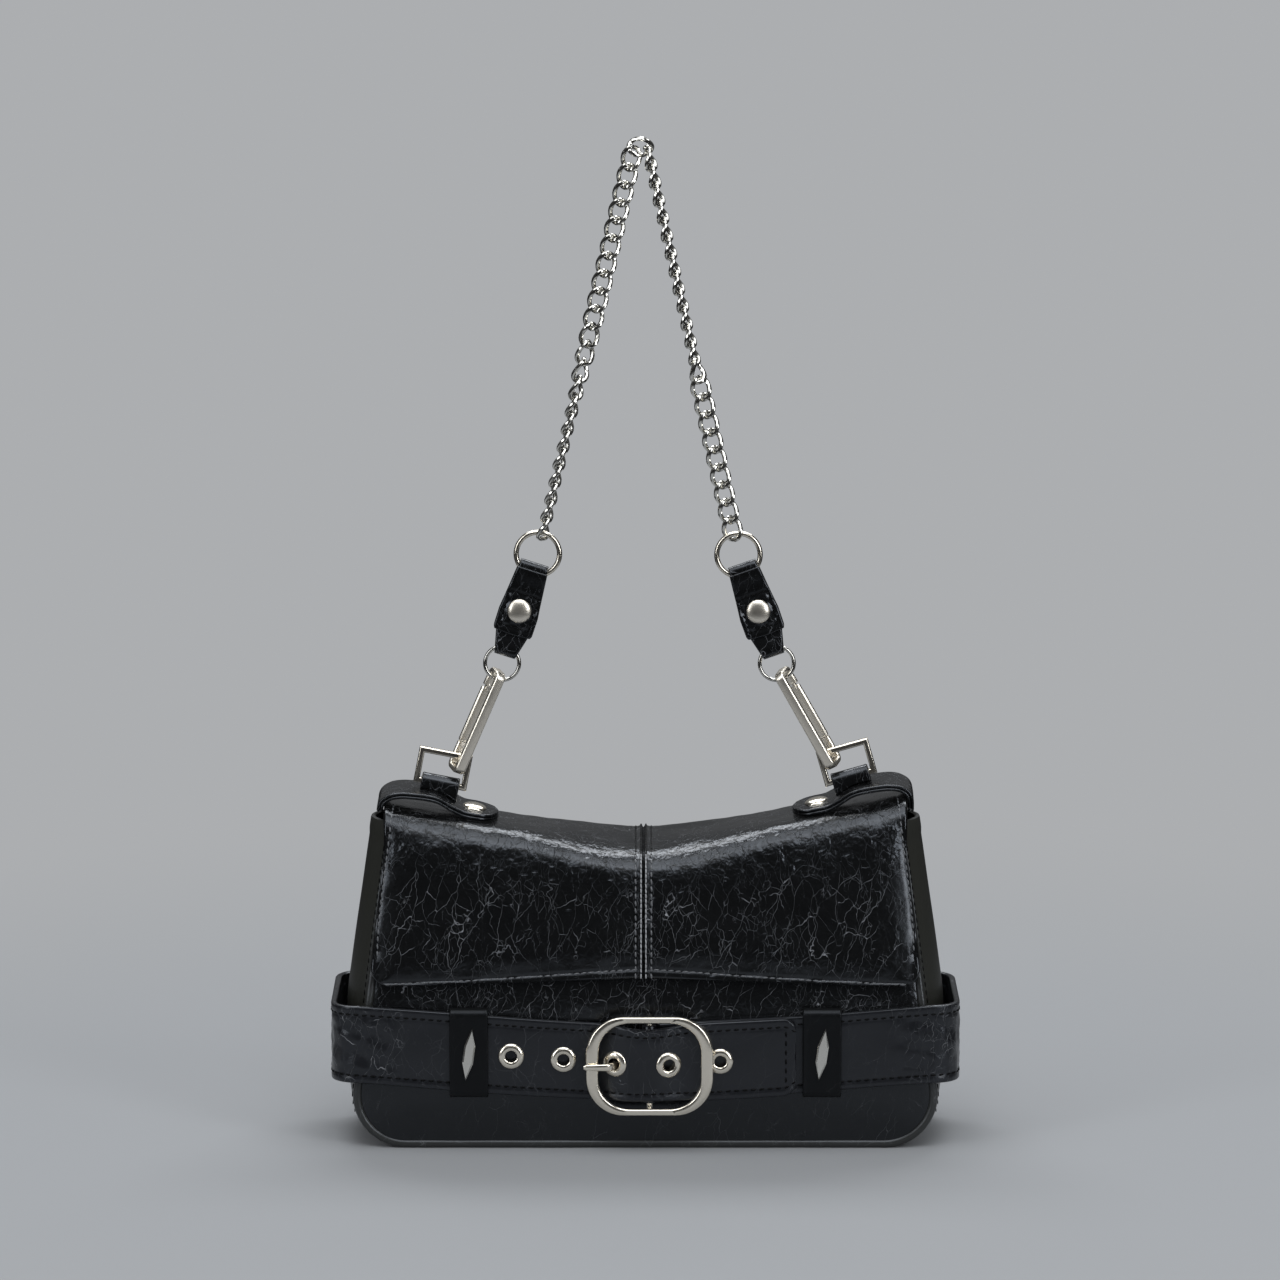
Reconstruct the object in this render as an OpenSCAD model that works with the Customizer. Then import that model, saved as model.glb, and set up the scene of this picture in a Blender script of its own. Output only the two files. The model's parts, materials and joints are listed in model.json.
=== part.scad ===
// Shoulder bag with a flap, a buckled belt round its body and a strap of chain and leather tabs.
// X runs to the right, Y to the back, Z up. The origin is the middle of the base.

/* [Body] */
// Width of the front and back panels at their lower corners
base_w = 266; // [240:1:280]
// Width of the front and back panels at the height of the shoulders
top_w = 230; // [215:1:236]
// Depth of the body below the waist
base_d = 68; // [60:1:80]
// Depth of the body at the shoulders
top_d = 36; // [34:1:44]
// Height below which the panels stand upright
waist_h = 69; // [68:1:74]
// Height of the top fold at the shoulders
fold_h = 158; // [152:1:170]
// Fall of the top fold from the shoulders to the centre
sag = 20; // [12:1:24]
// Extra height of the right shoulder over the left one
shoulder_skew = 4; // [0:0.5:5]
// Height of the front panel's top edge, behind the flap
mouth_h = 114; // [104:1:118]
// Radius of the lower corners
corner_r = 23; // [18:1:28]
// Thickness of the leather panels
skin_t = 2.2; // [1.8:0.1:2.6]
// Clearance between sewn pieces
sew_gap = 0.2; // [0.1:0.05:0.4]

/* [Gussets and base] */
// How far the gussets bulge past the panels
gusset_bulge = 9; // [5:0.5:10]
// Height of the gussets
gusset_h = 150; // [144:1:152]
// Thickness of the gussets
gusset_t = 1.8; // [1.2:0.1:2.2]
// Thickness of the base leather
base_t = 2; // [1.5:0.1:2.5]
// Thickness of the board over the base
board_t = 1.6; // [1:0.1:2]
// Thickness of the lining
lining_t = 0.8; // [0.5:0.1:1]
// Section of the piping
pipe_d = 4; // [3:0.1:5]
// How far the piping stands out past the panel's outline
pipe_out = 1.6; // [1:0.1:2]
// How far the piping stands proud of the panel's face
pipe_proud = 0.8; // [0.4:0.1:1.2]

/* [Flap and yoke] */
// Width of the flap at the shoulders
flap_top_w = 240; // [236:1:244]
// Width of the flap at its hem
flap_hem_w = 254; // [248:1:258]
// Height of the hem at its corners
hem_h = 77; // [75:1:84]
// Rise of the hem at the centre
hem_rise = 3.6; // [1:0.2:6]
// Radius of the hem's corners
hem_r = 9; // [4:1:14]
// Thickness of the flap's leather
flap_t = 1.6; // [1.2:0.1:2]
// Thickness of the facing behind the flap
facing_t = 0.8; // [0.5:0.1:1]
// Thickness of the yoke
yoke_t = 2.2; // [1.6:0.1:2.6]
// Radius of the front fold
fold_r = 8; // [6:0.5:9]
// Radius of the back fold
back_r = 5; // [4:0.5:6]
// Rise of the yoke from the front fold to the back
yoke_rise = 2.6; // [2:0.2:5]
// Gap between the yoke and the top of the flap
hinge_gap = 0.6; // [0.4:0.1:1]
// Diameter of the magnetic snap
magnet_d = 18; // [14:1:20]
// Thickness of each half of the snap
magnet_t = 1.4; // [1:0.1:2]
// Height of the snap
magnet_h = 94; // [92:1:100]

/* [Belt] */
// Width of the belt
belt_w = 36.5; // [34:0.5:38]
// Thickness of the belt
belt_t = 2.6; // [2.2:0.1:3]
// Outside width of the belt's loop
belt_loop_w = 289; // [286:1:296]
// Radius of the belt's corners
belt_r = 12.6; // [11:0.2:13]
// Height of the belt's middle line at the corners
belt_h = 49.6; // [47:0.5:50]
// Fall of the belt's middle line to the centre
belt_sag = 8.6; // [4:0.2:10]
// Clearance between the belt and the piping
belt_gap = 0.5; // [0.3:0.1:0.8]
// Reach of the tail past the centre
tail_x = 69; // [64:1:70]
// Radius of the tail's corners
tail_r = 6; // [3:0.5:9]
// Distance of the eyelets from each other
eyelet_pitch = 24; // [23.5:0.1:24.4]
// Outside diameter of an eyelet
eyelet_d = 11.8; // [10:0.1:12]
// Bore of an eyelet
eyelet_bore = 5.5; // [5.2:0.1:6]
// Wall of an eyelet's barrel
eyelet_wall = 0.45; // [0.3:0.05:0.6]
// Thickness of an eyelet's front rim
eyelet_rim = 0.8; // [0.5:0.1:1]
// Thickness of an eyelet's back rim
eyelet_back = 0.5; // [0.3:0.05:0.5]
// Thickness of a keeper's leather
keeper_t = 1.5; // [1:0.1:1.8]
// Width of a keeper
keeper_w = 17.7; // [14:0.1:18.4]
// Clearance between the outermost eyelet and its keeper
keeper_space = 4.6; // [3.6:0.1:12]
// Height of the plain stud on a keeper
stud_h = 25; // [18:1:28]
// Width of the plain stud
stud_w = 5; // [3:0.5:7]
// Thickness of the plain stud
stud_t = 1.2; // [0.8:0.1:2]

/* [Buckle] */
// Width of the buckle's frame
frame_w = 58.4; // [57:0.2:60]
// Height of the buckle's frame
frame_h = 46.4; // [45.6:0.2:48]
// Width of the frame's sides
frame_side = 5.7; // [5:0.1:6]
// Width of the frame's top and bottom
frame_rail = 3.2; // [2.8:0.1:3.4]
// Radius of the frame's corners
frame_r = 16; // [12:1:18]
// Thickness of the frame
frame_t = 2.6; // [2:0.1:3]
// Distance of the buckle from the centre
buckle_x = 1.9; // [1:0.1:3]
// Thickness of the thinned leather wrapped round the centre bar
wrap_t = 1.3; // [1:0.1:1.4]
// Diameter of the centre bar
bar_d = 3; // [2.6:0.1:3.2]
// Running clearance of the tongue round the bar
bar_fit = 0.05; // [0.03:0.01:0.08]
// Width of the tongue
tongue_w = 3.6; // [3:0.1:3.8]
// Thickness of the tongue
tongue_t = 2; // [1.8:0.1:2.3]

/* [Shoulder strips and rings] */
// Length of a shoulder strip along the top
strip_l = 56; // [52:1:58]
// Reach of a strip's outer end past the flap's top corner
strip_reach = 3.6; // [3.4:0.1:5]
// Width of a strip
strip_w = 24; // [20:1:26]
// Thickness of a strip
strip_t = 3; // [2.4:0.1:3.2]
// How far a strip arches up off the yoke
strip_arch = 5.2; // [4.6:0.1:5.6]
// Diameter of a rivet's cap
rivet_d = 11.2; // [9:0.2:12]
// Height of a rivet's dome
rivet_h = 1.6; // [1:0.1:2]
// Diameter of a rivet's shank
shank_d = 3.2; // [2.4:0.1:4]
// Distance of the ring loops from a strip's outer end
ring_inset = 29; // [27:0.2:31]
// Width of a rectangular ring
ring_w = 24.8; // [24:0.1:26]
// Height of a rectangular ring
ring_h = 17; // [16.5:0.1:19]
// Section of a rectangular ring's bar
ring_bar = 2.7; // [2.3:0.1:2.8]
// Tilt of the left ring
ring_tilt_left = 11; // [8:0.5:13]
// Tilt of the right ring
ring_tilt_right = 16; // [13:0.5:17]
// Width of a ring loop
loop_w = 17.6; // [14:0.2:18]
// Thickness of a ring loop's leather
loop_t = 1.6; // [1.2:0.1:2]
// Standing height of a ring loop's legs
loop_stand = 0.8; // [0.6:0.1:1.4]
// Clearance round the bar in a ring loop
loop_gap = 0.3; // [0.2:0.05:0.5]

/* [Clips] */
// Length of a clip
clip_l = 51.5; // [49:0.5:56]
// Depth of a clip from front to back
clip_d = 13.4; // [13:0.1:15]
// Width of a clip's bar
clip_w = 5; // [4:0.1:5.2]
// Thickness of a clip's bar
clip_t = 2.7; // [2.4:0.1:2.8]
// Lean of the left clip
clip_lean_left = 23.5; // [21:0.5:25]
// Lean of the right clip
clip_lean_right = 29.5; // [27:0.5:31]
// Turn of the clips about their length, gate outwards
clip_turn = 18; // [10:1:20]
// Distance along a ring's top bar at which its clip hangs
clip_reach = 7.2; // [6.8:0.1:7.6]
// Distance of a ring's top bar above the clip's lower bend
clip_rest = 4.8; // [4.6:0.1:6]
// Distance of the gate's pin from the clip's upper bend
gate_drop = 9; // [8:0.5:10]
// Length of the gate below its pin
gate_l = 26.2; // [24:0.2:27]
// Diameter of the gate's pin
pin_d = 1.6; // [1.4:0.1:1.8]
// Running clearance of the gate round its pin
pin_fit = 0.05; // [0.03:0.01:0.08]

/* [Tabs and round rings] */
// Outside diameter of a lower ring
lower_ring_d = 17.5; // [17:0.1:19]
// Wire of a lower ring
lower_wire = 1.8; // [1.5:0.1:2]
// Outside diameter of an upper ring
upper_ring_d = 22.3; // [22:0.1:24]
// Wire of an upper ring
upper_wire = 2.4; // [2:0.1:2.6]
// Length of a leather tab
tab_l = 45.8; // [42:0.2:52]
// Greatest width of a tab
tab_w = 18.4; // [17:0.2:20]
// Leather thickness of a tab's walls
tab_t = 1.3; // [1:0.1:1.5]
// Lean of the left tab
tab_lean_left = 18; // [16:0.5:20]
// Lean of the right tab
tab_lean_right = 19.3; // [17:0.5:21]
// Slack of a ring's wire in its piece
wire_gap = 0.3; // [0.2:0.05:0.5]

/* [Chain] */
// Links in each side of the chain
link_count = 22; // [8:2:24]
// Length of a link
link_l = 12.7; // [12.2:0.1:13.4]
// Width of a link
link_w = 9.8; // [9.4:0.1:10.2]
// Wire of the chain
link_wire = 2.1; // [1.8:0.05:2.2]
// Clearance between two links
link_gap = 0.2; // [0.15:0.05:0.3]
// Extra clearance of the first link at its ring
ring_slack = 0.5; // [0.3:0.1:0.8]
// Lean of the chain at the upper rings
chain_lean = 14; // [11:0.5:17]
// Twist of the chain from an upper ring to the top link
chain_twist = 90; // [87:1:93]

/* [Hidden] */
$fn = 48;

LEFT = -1;
RIGHT = 1;
leather = [0.06, 0.06, 0.065];
olive = [0.12, 0.12, 0.1];
cloth = [0.18, 0.17, 0.17];
nickel = [0.82, 0.8, 0.74];
steel = [0.85, 0.85, 0.86];

// Outline of the body
corner_x = base_w / 2 - corner_r;
corner_z = corner_r + pipe_out;
side_a = atan2((base_w - top_w) / 2, fold_h - corner_r);
arc_steps = 7;
fold_steps = 14;
cover = base_w + base_d;
fold_soft = 0.12;

function half_d(z) = z <= waist_h ? base_d / 2
    : base_d / 2 + (top_d - base_d) / 2 * (z - waist_h) / (fold_h - waist_h);
function side_x(z, grow) = corner_x + (corner_r + grow) / cos(side_a) - (z - corner_z) * tan(side_a);
function shoulder_z(x) = fold_h + sign(x) * shoulder_skew / 2;
function sag_share(x) = let (s = min(1, abs(x) / (flap_top_w / 2)))
    (sqrt(s * s + fold_soft * fold_soft) - fold_soft) / (sqrt(1 + fold_soft * fold_soft) - fold_soft);
function fold_z(x) = let (low = fold_h - sag) low + (shoulder_z(x) - low) * sag_share(x);
function mirrored(points) = [for (i = [len(points) - 1:-1:0]) [-points[i][0], points[i][1]]];

// Right edge of the body's outline, from the base up, set out by grow
function right_edge(grow, z_top) = concat(
    [for (i = [0:arc_steps]) let (a = -90 + (90 + side_a) * i / arc_steps)
        [corner_x + (corner_r + grow) * cos(a), corner_z + (corner_r + grow) * sin(a)]],
    [[side_x(z_top, grow), z_top]]);
function flat_outline(grow, z_top) = let (edge = right_edge(grow, z_top)) concat(edge, mirrored(edge));

// Points along both faces of a strip of even thickness
function unit(v) = v / norm(v);
function side_of(p, q) = let (d = unit(q - p)) [-d[1], d[0]];
function miter(points, i) = i == 0 ? side_of(points[0], points[1])
    : i == len(points) - 1 ? side_of(points[i - 1], points[i])
    : let (a = side_of(points[i - 1], points[i]), b = side_of(points[i], points[i + 1]), m = unit(a + b))
        m / (m * a);
function ribbon(points, thick) = concat(
    [for (i = [0:len(points) - 1]) points[i] + miter(points, i) * thick / 2],
    [for (i = [len(points) - 1:-1:0]) points[i] - miter(points, i) * thick / 2]);
function arc(centre, r, from, to, steps) = [for (i = [0:steps])
    let (a = from + (to - from) * i / steps) centre + r * [cos(a), sin(a)]];

// Prism of an outline in X and Z, run along Y
module xz_prism(points, depth) {
    rotate([90, 0, 0]) linear_extrude(height = depth, center = true) polygon(points);
}

// Prism of an outline in Y and Z, run along X
module yz_prism(points, width) {
    rotate([90, 0, 90]) linear_extrude(height = width, center = true) polygon(points);
}

// Closed sheet between two grids of points
module sheet(outer, inner) {
    rows = len(outer);
    cols = len(outer[0]);
    function o(i, j) = i * cols + j;
    function n(i, j) = rows * cols + o(i, j);
    faces = concat(
        [for (i = [0:rows - 2], j = [0:cols - 2]) each
            [[o(i, j), o(i + 1, j), o(i + 1, j + 1)], [o(i, j), o(i + 1, j + 1), o(i, j + 1)]]],
        [for (i = [0:rows - 2], j = [0:cols - 2]) each
            [[n(i, j), n(i + 1, j + 1), n(i + 1, j)], [n(i, j), n(i, j + 1), n(i + 1, j + 1)]]],
        [for (i = [0:rows - 2]) each
            [[o(i, 0), n(i, 0), n(i + 1, 0)], [o(i, 0), n(i + 1, 0), o(i + 1, 0)]]],
        [for (i = [0:rows - 2], j = [cols - 1]) each
            [[o(i, j), n(i + 1, j), n(i, j)], [o(i, j), o(i + 1, j), n(i + 1, j)]]],
        [for (j = [0:cols - 2]) each
            [[o(0, j), n(0, j + 1), n(0, j)], [o(0, j), o(0, j + 1), n(0, j + 1)]]],
        [for (j = [0:cols - 2], i = [rows - 1]) each
            [[o(i, j), n(i, j), n(i, j + 1)], [o(i, j), n(i, j + 1), o(i, j + 1)]]]);
    polyhedron(points = concat([for (r = outer) each r], [for (r = inner) each r]), faces = faces,
        convexity = 6);
}

// Layer in front of the body's front face, between two distances from it
band_top = fold_h + top_d;
module front_layer(far, near) {
    yz_prism([[-base_d / 2 - far, -base_d], [-base_d / 2 - far, waist_h],
        [-half_d(band_top) - far, band_top], [-half_d(band_top) - near, band_top],
        [-base_d / 2 - near, waist_h], [-base_d / 2 - near, -base_d]], cover);
}

module front_panel() {
    color(leather) intersection() {
        xz_prism(flat_outline(pipe_out - pipe_d - sew_gap, mouth_h), cover);
        front_layer(0, -skin_t);
    }
}

// Top edge of the back panel, under the yoke's back fold
function yoke_back_z(x) = fold_z(x) + yoke_rise - back_r;
module back_panel() {
    grow = pipe_out - pipe_d - sew_gap;
    half = side_x(fold_h, grow);
    top = [for (i = [fold_steps:-1:0]) let (x = half * (2 * i / fold_steps - 1)) [x, yoke_back_z(x) - sew_gap]];
    edge = [for (p = right_edge(grow, fold_h - sag)) p];
    color(leather) mirror([0, 1, 0]) intersection() {
        xz_prism(concat(edge, top, mirrored(edge)), cover);
        front_layer(0, -skin_t);
    }
}

module piping(z_top) {
    difference() {
        intersection() {
            xz_prism(flat_outline(pipe_out, z_top), cover);
            front_layer(pipe_proud, pipe_proud - pipe_d);
        }
        xz_prism(flat_outline(pipe_out - pipe_d, z_top + pipe_d), cover + base_d);
    }
}
module piping_front() {
    color(leather) piping(mouth_h);
}
module piping_back() {
    color(leather) mirror([0, 1, 0]) piping(gusset_h - pipe_d);
}

// Gussets: bulging sheets that turn under at the lower corners
gusset_rows = 9;
gusset_cols = 6;
bulge_full_share = 0.47;
bulge_fade_share = 0.12;
function bulge_share(z) = let (s = min(1, z / (fold_h * bulge_full_share)))
    s * s * (3 - 2 * s) * (1 - bulge_fade_share * max(0, z - waist_h) / (fold_h - waist_h));
function gusset_row(i) = i <= arc_steps
    ? let (a = -90 + (90 + side_a) * i / arc_steps) [corner_x + (corner_r + pipe_out) * cos(a),
        corner_z + (corner_r + pipe_out) * sin(a), cos(a), sin(a)]
    : let (z0 = corner_z + (corner_r + pipe_out) * sin(side_a),
        z = z0 + (gusset_h - z0) * (i - arc_steps) / gusset_rows) [side_x(z, pipe_out), z, 1, 0];
function gusset_point(i, j, deep) = let (row = gusset_row(i), run = half_d(row[1]) + pipe_proud - pipe_d - sew_gap,
    s = 2 * j / gusset_cols - 1, out = gusset_bulge * bulge_share(row[1]) * (1 - s * s) - deep)
    [row[0] + out * row[2], s * run, row[1] + out * row[3]];
module gusset() {
    sheet([for (i = [0:arc_steps + gusset_rows]) [for (j = [0:gusset_cols]) gusset_point(i, j, 0)]],
        [for (i = [0:arc_steps + gusset_rows]) [for (j = [0:gusset_cols]) gusset_point(i, j, gusset_t)]]);
}
module gusset_right() {
    color(olive) gusset();
}
module gusset_left() {
    color(olive) mirror([1, 0, 0]) gusset();
}

inner_d = base_d + 2 * (pipe_proud - pipe_d - sew_gap);
module base_panel() {
    color(olive) translate([-corner_x + sew_gap, -inner_d / 2, 0]) cube([2 * (corner_x - sew_gap), inner_d, base_t]);
}
module base_board() {
    board_w = 2 * corner_x;
    color(cloth) translate([-board_w / 2, -inner_d / 2, base_t + sew_gap]) cube([board_w, inner_d, board_t]);
}

// Space inside the panels, drawn in by inset
module cavity(inset, floor_z, z_top) {
    back = half_d(z_top) - skin_t - inset;
    low = base_d / 2 - skin_t - inset;
    deep = max(inset + skin_t, pipe_d - pipe_proud + inset);
    intersection() {
        xz_prism(flat_outline(-gusset_t - inset, z_top), cover);
        yz_prism([[-base_d / 2 + deep, floor_z], [-base_d / 2 + deep, waist_h], [-half_d(z_top) + deep, z_top],
            [half_d(z_top) - deep, z_top], [base_d / 2 - deep, waist_h], [base_d / 2 - deep, floor_z]], cover);
    }
}
lining_h = mouth_h - pipe_d;
module lining() {
    floor_z = base_t + board_t + 2 * sew_gap;
    color(cloth) difference() {
        cavity(2 * sew_gap, floor_z, lining_h);
        cavity(2 * sew_gap + lining_t, floor_z + lining_t, lining_h + lining_t);
    }
}

// Magnetic snap and the room it needs between flap and panel
lean = atan2((base_d - top_d) / 2, fold_h - waist_h);
flap_gap = (2 * magnet_t + 3 * sew_gap) / cos(lean);
flap_out = flap_gap + facing_t + sew_gap + flap_t;
module on_front(distance) {
    translate([0, -half_d(magnet_h), magnet_h]) rotate([90 - lean, 0, 0]) translate([0, 0, distance]) children();
}
module panel_magnet() {
    color(nickel) on_front(sew_gap) cylinder(d = magnet_d, h = magnet_t);
}
module flap_magnet() {
    color(nickel) on_front(2 * sew_gap + magnet_t) cylinder(d = magnet_d, h = magnet_t);
}

// Yoke: runs from the back fold over the top and rolls down into the flap
function yoke_front_y(x) = -(half_d(fold_z(x) - fold_r) + flap_out) + fold_r;
function yoke_back_y(x) = half_d(yoke_back_z(x)) - back_r;
function yoke_section(x, inset) = concat(
    [for (p = arc([yoke_back_y(x), yoke_back_z(x)], back_r - inset, 0, 90, 3)) [x, p[0], p[1]]],
    [for (p = arc([yoke_front_y(x), fold_z(x) - fold_r], fold_r - inset, 90, 180, 4)) [x, p[0], p[1]]]);
function across(i) = flap_top_w * (i / fold_steps - 1 / 2);
module yoke() {
    color(leather) difference() {
        sheet([for (i = [0:fold_steps]) yoke_section(across(i), 0)],
            [for (i = [0:fold_steps]) yoke_section(across(i), yoke_t)]);
        for (s = [LEFT, RIGHT]) on_strip(s, rivet_x, -yoke_t - strip_t - rivet_h)
            cylinder(d = shank_d + 2 * sew_gap, h = 2 * (yoke_t + strip_t + rivet_h));
    }
}

// Flap: hangs from the front fold in front of the panel
function flap_outline(inset) = let (half = flap_top_w / 2 - inset,
    top = [for (i = [fold_steps:-1:0]) let (x = half * (2 * i / fold_steps - 1)) [x, fold_z(x) - fold_r - hinge_gap]],
    corner = arc([flap_hem_w / 2 - hem_r, hem_h + hem_r], hem_r - inset, -90, 0, 4))
    concat([[0, hem_h + hem_rise + inset]], corner, top, mirrored(corner));
module flap() {
    color(leather) intersection() {
        xz_prism(flap_outline(0), cover);
        front_layer(flap_out, flap_out - flap_t);
    }
}
module flap_facing() {
    color(cloth) intersection() {
        xz_prism(flap_outline(flap_t), cover);
        front_layer(flap_gap + facing_t, flap_gap);
    }
}

// Belt. Out is the distance in front of the belt's inner plane.
belt_y = base_d / 2 + pipe_proud + belt_gap;
belt_knee = belt_loop_w / 2 - belt_r;
belt_power = 1.2;
bar_out = sew_gap + wrap_t + loop_gap + bar_d / 2;
wrap_r = bar_d / 2 + loop_gap + wrap_t;
long_out_left = eyelet_back + 2 * sew_gap;
long_out_right = sew_gap + belt_t + eyelet_back + 2 * sew_gap;
long_out_mid = bar_out + wrap_r + 2 * sew_gap;
bump_left_share = 0.31;
bump_right_share = 0.11;
bump_foot_share = 0.755;
bump_end_share = 0.525;
bump_outs = [[-belt_loop_w, long_out_left], [-bump_foot_share * frame_w / 2, long_out_left],
    [-bump_left_share * frame_w / 2, long_out_mid], [bump_right_share * frame_w / 2, long_out_mid],
    [bump_end_share * frame_w / 2, long_out_right], [belt_loop_w, long_out_right]];
bump_slope = atan2(long_out_mid - long_out_left, (bump_foot_share - bump_left_share) * frame_w / 2);
function belt_mid(x) = belt_h - belt_sag * (1 - pow(min(1, abs(x) / belt_knee), belt_power));
belt_steps = 12;
function belt_line(from, to, side) = [for (i = [0:belt_steps])
    let (x = from + (to - from) * i / belt_steps) [x, belt_mid(x) + side * belt_w / 2]];

// Middle line of a strap in X and Y: round the corner from the back, then along the front
function belt_turn() = let (c = belt_r - belt_t / 2)
    concat([[-sew_gap, belt_y + belt_t / 2]],
        arc([-belt_knee, belt_y + belt_t / 2 - c], c, 90, 180, 5),
        arc([-belt_knee, -belt_y - long_out_left - belt_t / 2 + c], c, 180, 270, 5));
function strap_y(x) = -belt_y - belt_t / 2 - lookup(x - buckle_x, bump_outs);
long_path = concat(belt_turn(), [for (i = [1:4]) let (x = buckle_x + bump_outs[i][0]) [x, strap_y(x)]],
    [[tail_x, strap_y(tail_x)]]);
module upright(points) {
    linear_extrude(height = belt_h + belt_w) polygon(points);
}

eyelets_each_side = 2;
tongue_eye_x = buckle_x - (bump_left_share + bump_foot_share) / 2 * frame_w / 2;
barrel_r = eyelet_bore / 2 + eyelet_wall;
// Places an eyelet's children on the strap, front outwards
module at_eyelet(k) {
    x = tongue_eye_x + k * eyelet_pitch;
    turn = atan2(strap_y(x - barrel_r) - strap_y(x + barrel_r), 2 * barrel_r);
    translate([x, strap_y(x), belt_mid(x)]) rotate([0, 0, -turn]) rotate([90, 0, 0]) children();
}
module each_eyelet() {
    for (k = [-eyelets_each_side:eyelets_each_side]) at_eyelet(k) children();
}
module belt_long() {
    tail = [tail_x - tail_r, belt_mid(tail_x)];
    color(leather) difference() {
        intersection() {
            upright(ribbon(long_path, belt_t));
            xz_prism(concat(belt_line(-cover, -belt_knee, -1), belt_line(-belt_knee, tail_x - tail_r, -1),
                arc([tail_x - tail_r, belt_mid(tail_x) - belt_w / 2 + tail_r], tail_r, -90, 0, 4),
                arc([tail_x - tail_r, belt_mid(tail_x) + belt_w / 2 - tail_r], tail_r, 0, 90, 4),
                belt_line(tail_x - tail_r, -belt_knee, 1), belt_line(-belt_knee, -cover, 1)), cover);
        }
        each_eyelet() cylinder(r = barrel_r + sew_gap / 2, h = 3 * belt_t, center = true);
    }
}
module eyelets() {
    color(nickel) each_eyelet() difference() {
        union() {
            cylinder(r = barrel_r, h = belt_t + 2 * sew_gap, center = true);
            translate([0, 0, belt_t / 2 + sew_gap]) cylinder(d1 = eyelet_d, d2 = eyelet_d - eyelet_rim, h = eyelet_rim);
            translate([0, 0, -belt_t / 2 - sew_gap / 2 - eyelet_back]) cylinder(r = barrel_r + 2 * eyelet_wall, h = eyelet_back);
        }
        cylinder(d = eyelet_bore, h = 4 * belt_t, center = true);
    }
}

// The short strap mirrors the long one's corner and lies closer to the panel in front
short_path = concat([for (p = belt_turn()) [-p[0], p[1] + (p[1] < 0 ? long_out_left - sew_gap : 0)]],
    [[buckle_x, -belt_y - sew_gap - belt_t / 2]]);
module at_bar() {
    translate([buckle_x, -belt_y - bar_out, 0]) children();
}
bar_mid = belt_mid(buckle_x);
module belt_short() {
    color(leather) difference() {
        union() {
            intersection() {
                upright(ribbon(short_path, belt_t));
                xz_prism(concat(belt_line(buckle_x, belt_knee, -1), belt_line(belt_knee, cover, -1),
                    belt_line(cover, belt_knee, 1), belt_line(belt_knee, buckle_x, 1),
                    belt_line(buckle_x, -sew_gap, 1), belt_line(-sew_gap, buckle_x, -1)), cover);
            }
            at_bar() translate([0, 0, bar_mid - belt_w / 2]) cylinder(r = wrap_r, h = belt_w);
        }
        at_bar() cylinder(r = bar_d / 2 + loop_gap, h = 2 * belt_h);
        at_bar() translate([0, 0, bar_mid]) cube([3 * wrap_r, 3 * wrap_r, tongue_w + 4 * loop_gap], center = true);
    }
}

// Keepers: leather loops sewn to the panel over the belt
keeper_out = long_out_left + belt_t + 2 * sew_gap;
keeper_x = eyelets_each_side * eyelet_pitch - tongue_eye_x + eyelet_d / 2 + keeper_space + keeper_w / 2;
keeper_rise = belt_mid(keeper_x + keeper_w / 2) - belt_mid(keeper_x);
module keeper(s) {
    x = s * keeper_x;
    half = belt_w / 2 + keeper_rise + 2 * sew_gap + keeper_t / 2;
    bend = keeper_t;
    front = -belt_y - keeper_out - keeper_t / 2;
    seat = -base_d / 2 - sew_gap;
    translate([x, 0, belt_mid(x)]) yz_prism(ribbon(concat([[seat, half]],
        arc([front + bend, half - bend], bend, 90, 180, 3), arc([front + bend, -half + bend], bend, 180, 270, 3),
        [[seat, -half]]), keeper_t), keeper_w);
}
module keeper_left() {
    color(leather) keeper(LEFT);
}
module keeper_right() {
    color(leather) keeper(RIGHT);
}
stud_lean = 8;
module keeper_studs() {
    face = -belt_y - keeper_out - keeper_t - sew_gap - stud_t / 2;
    color(steel) for (s = [LEFT, RIGHT]) translate([s * keeper_x, face, belt_mid(s * keeper_x)])
        rotate([0, stud_lean, 0]) xz_prism([[0, -stud_h / 2], [stud_w / 2, -stud_h / 2 + stud_w],
            [stud_w / 2, stud_h / 2 - stud_w], [0, stud_h / 2], [-stud_w / 2, stud_h / 2 - stud_w],
            [-stud_w / 2, -stud_h / 2 + stud_w]], stud_t);
}

// Buckle
frame_out = long_out_right + belt_t + 2 * sew_gap + eyelet_rim + sew_gap;
module rounded(w, h, r) {
    square([w, h - 2 * r], center = true);
    square([w - 2 * r, h], center = true);
    for (i = [-1, 1], j = [-1, 1]) translate([i * (w / 2 - r), j * (h / 2 - r)]) circle(r = r);
}
module buckle_frame() {
    inner_w = frame_w - 2 * frame_side;
    inner_h = frame_h - 2 * frame_rail;
    post_z = frame_h / 2 - frame_rail / 2;
    color(nickel) {
        translate([buckle_x, -belt_y - frame_out - frame_t / 2, bar_mid]) rotate([90, 0, 0])
            linear_extrude(height = frame_t, center = true) difference() {
                rounded(frame_w, frame_h, frame_r);
                rounded(inner_w, inner_h, frame_r - frame_rail);
            }
        at_bar() translate([0, 0, bar_mid - post_z]) cylinder(d = bar_d, h = 2 * post_z);
        for (i = [-1, 1]) translate([buckle_x, -belt_y - frame_out - frame_t / 2, bar_mid + i * post_z])
            rotate([-90, 0, 0]) cylinder(d = frame_rail * 0.9, h = frame_out + frame_t / 2 - bar_out + bar_d / 2);
    }
}

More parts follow.
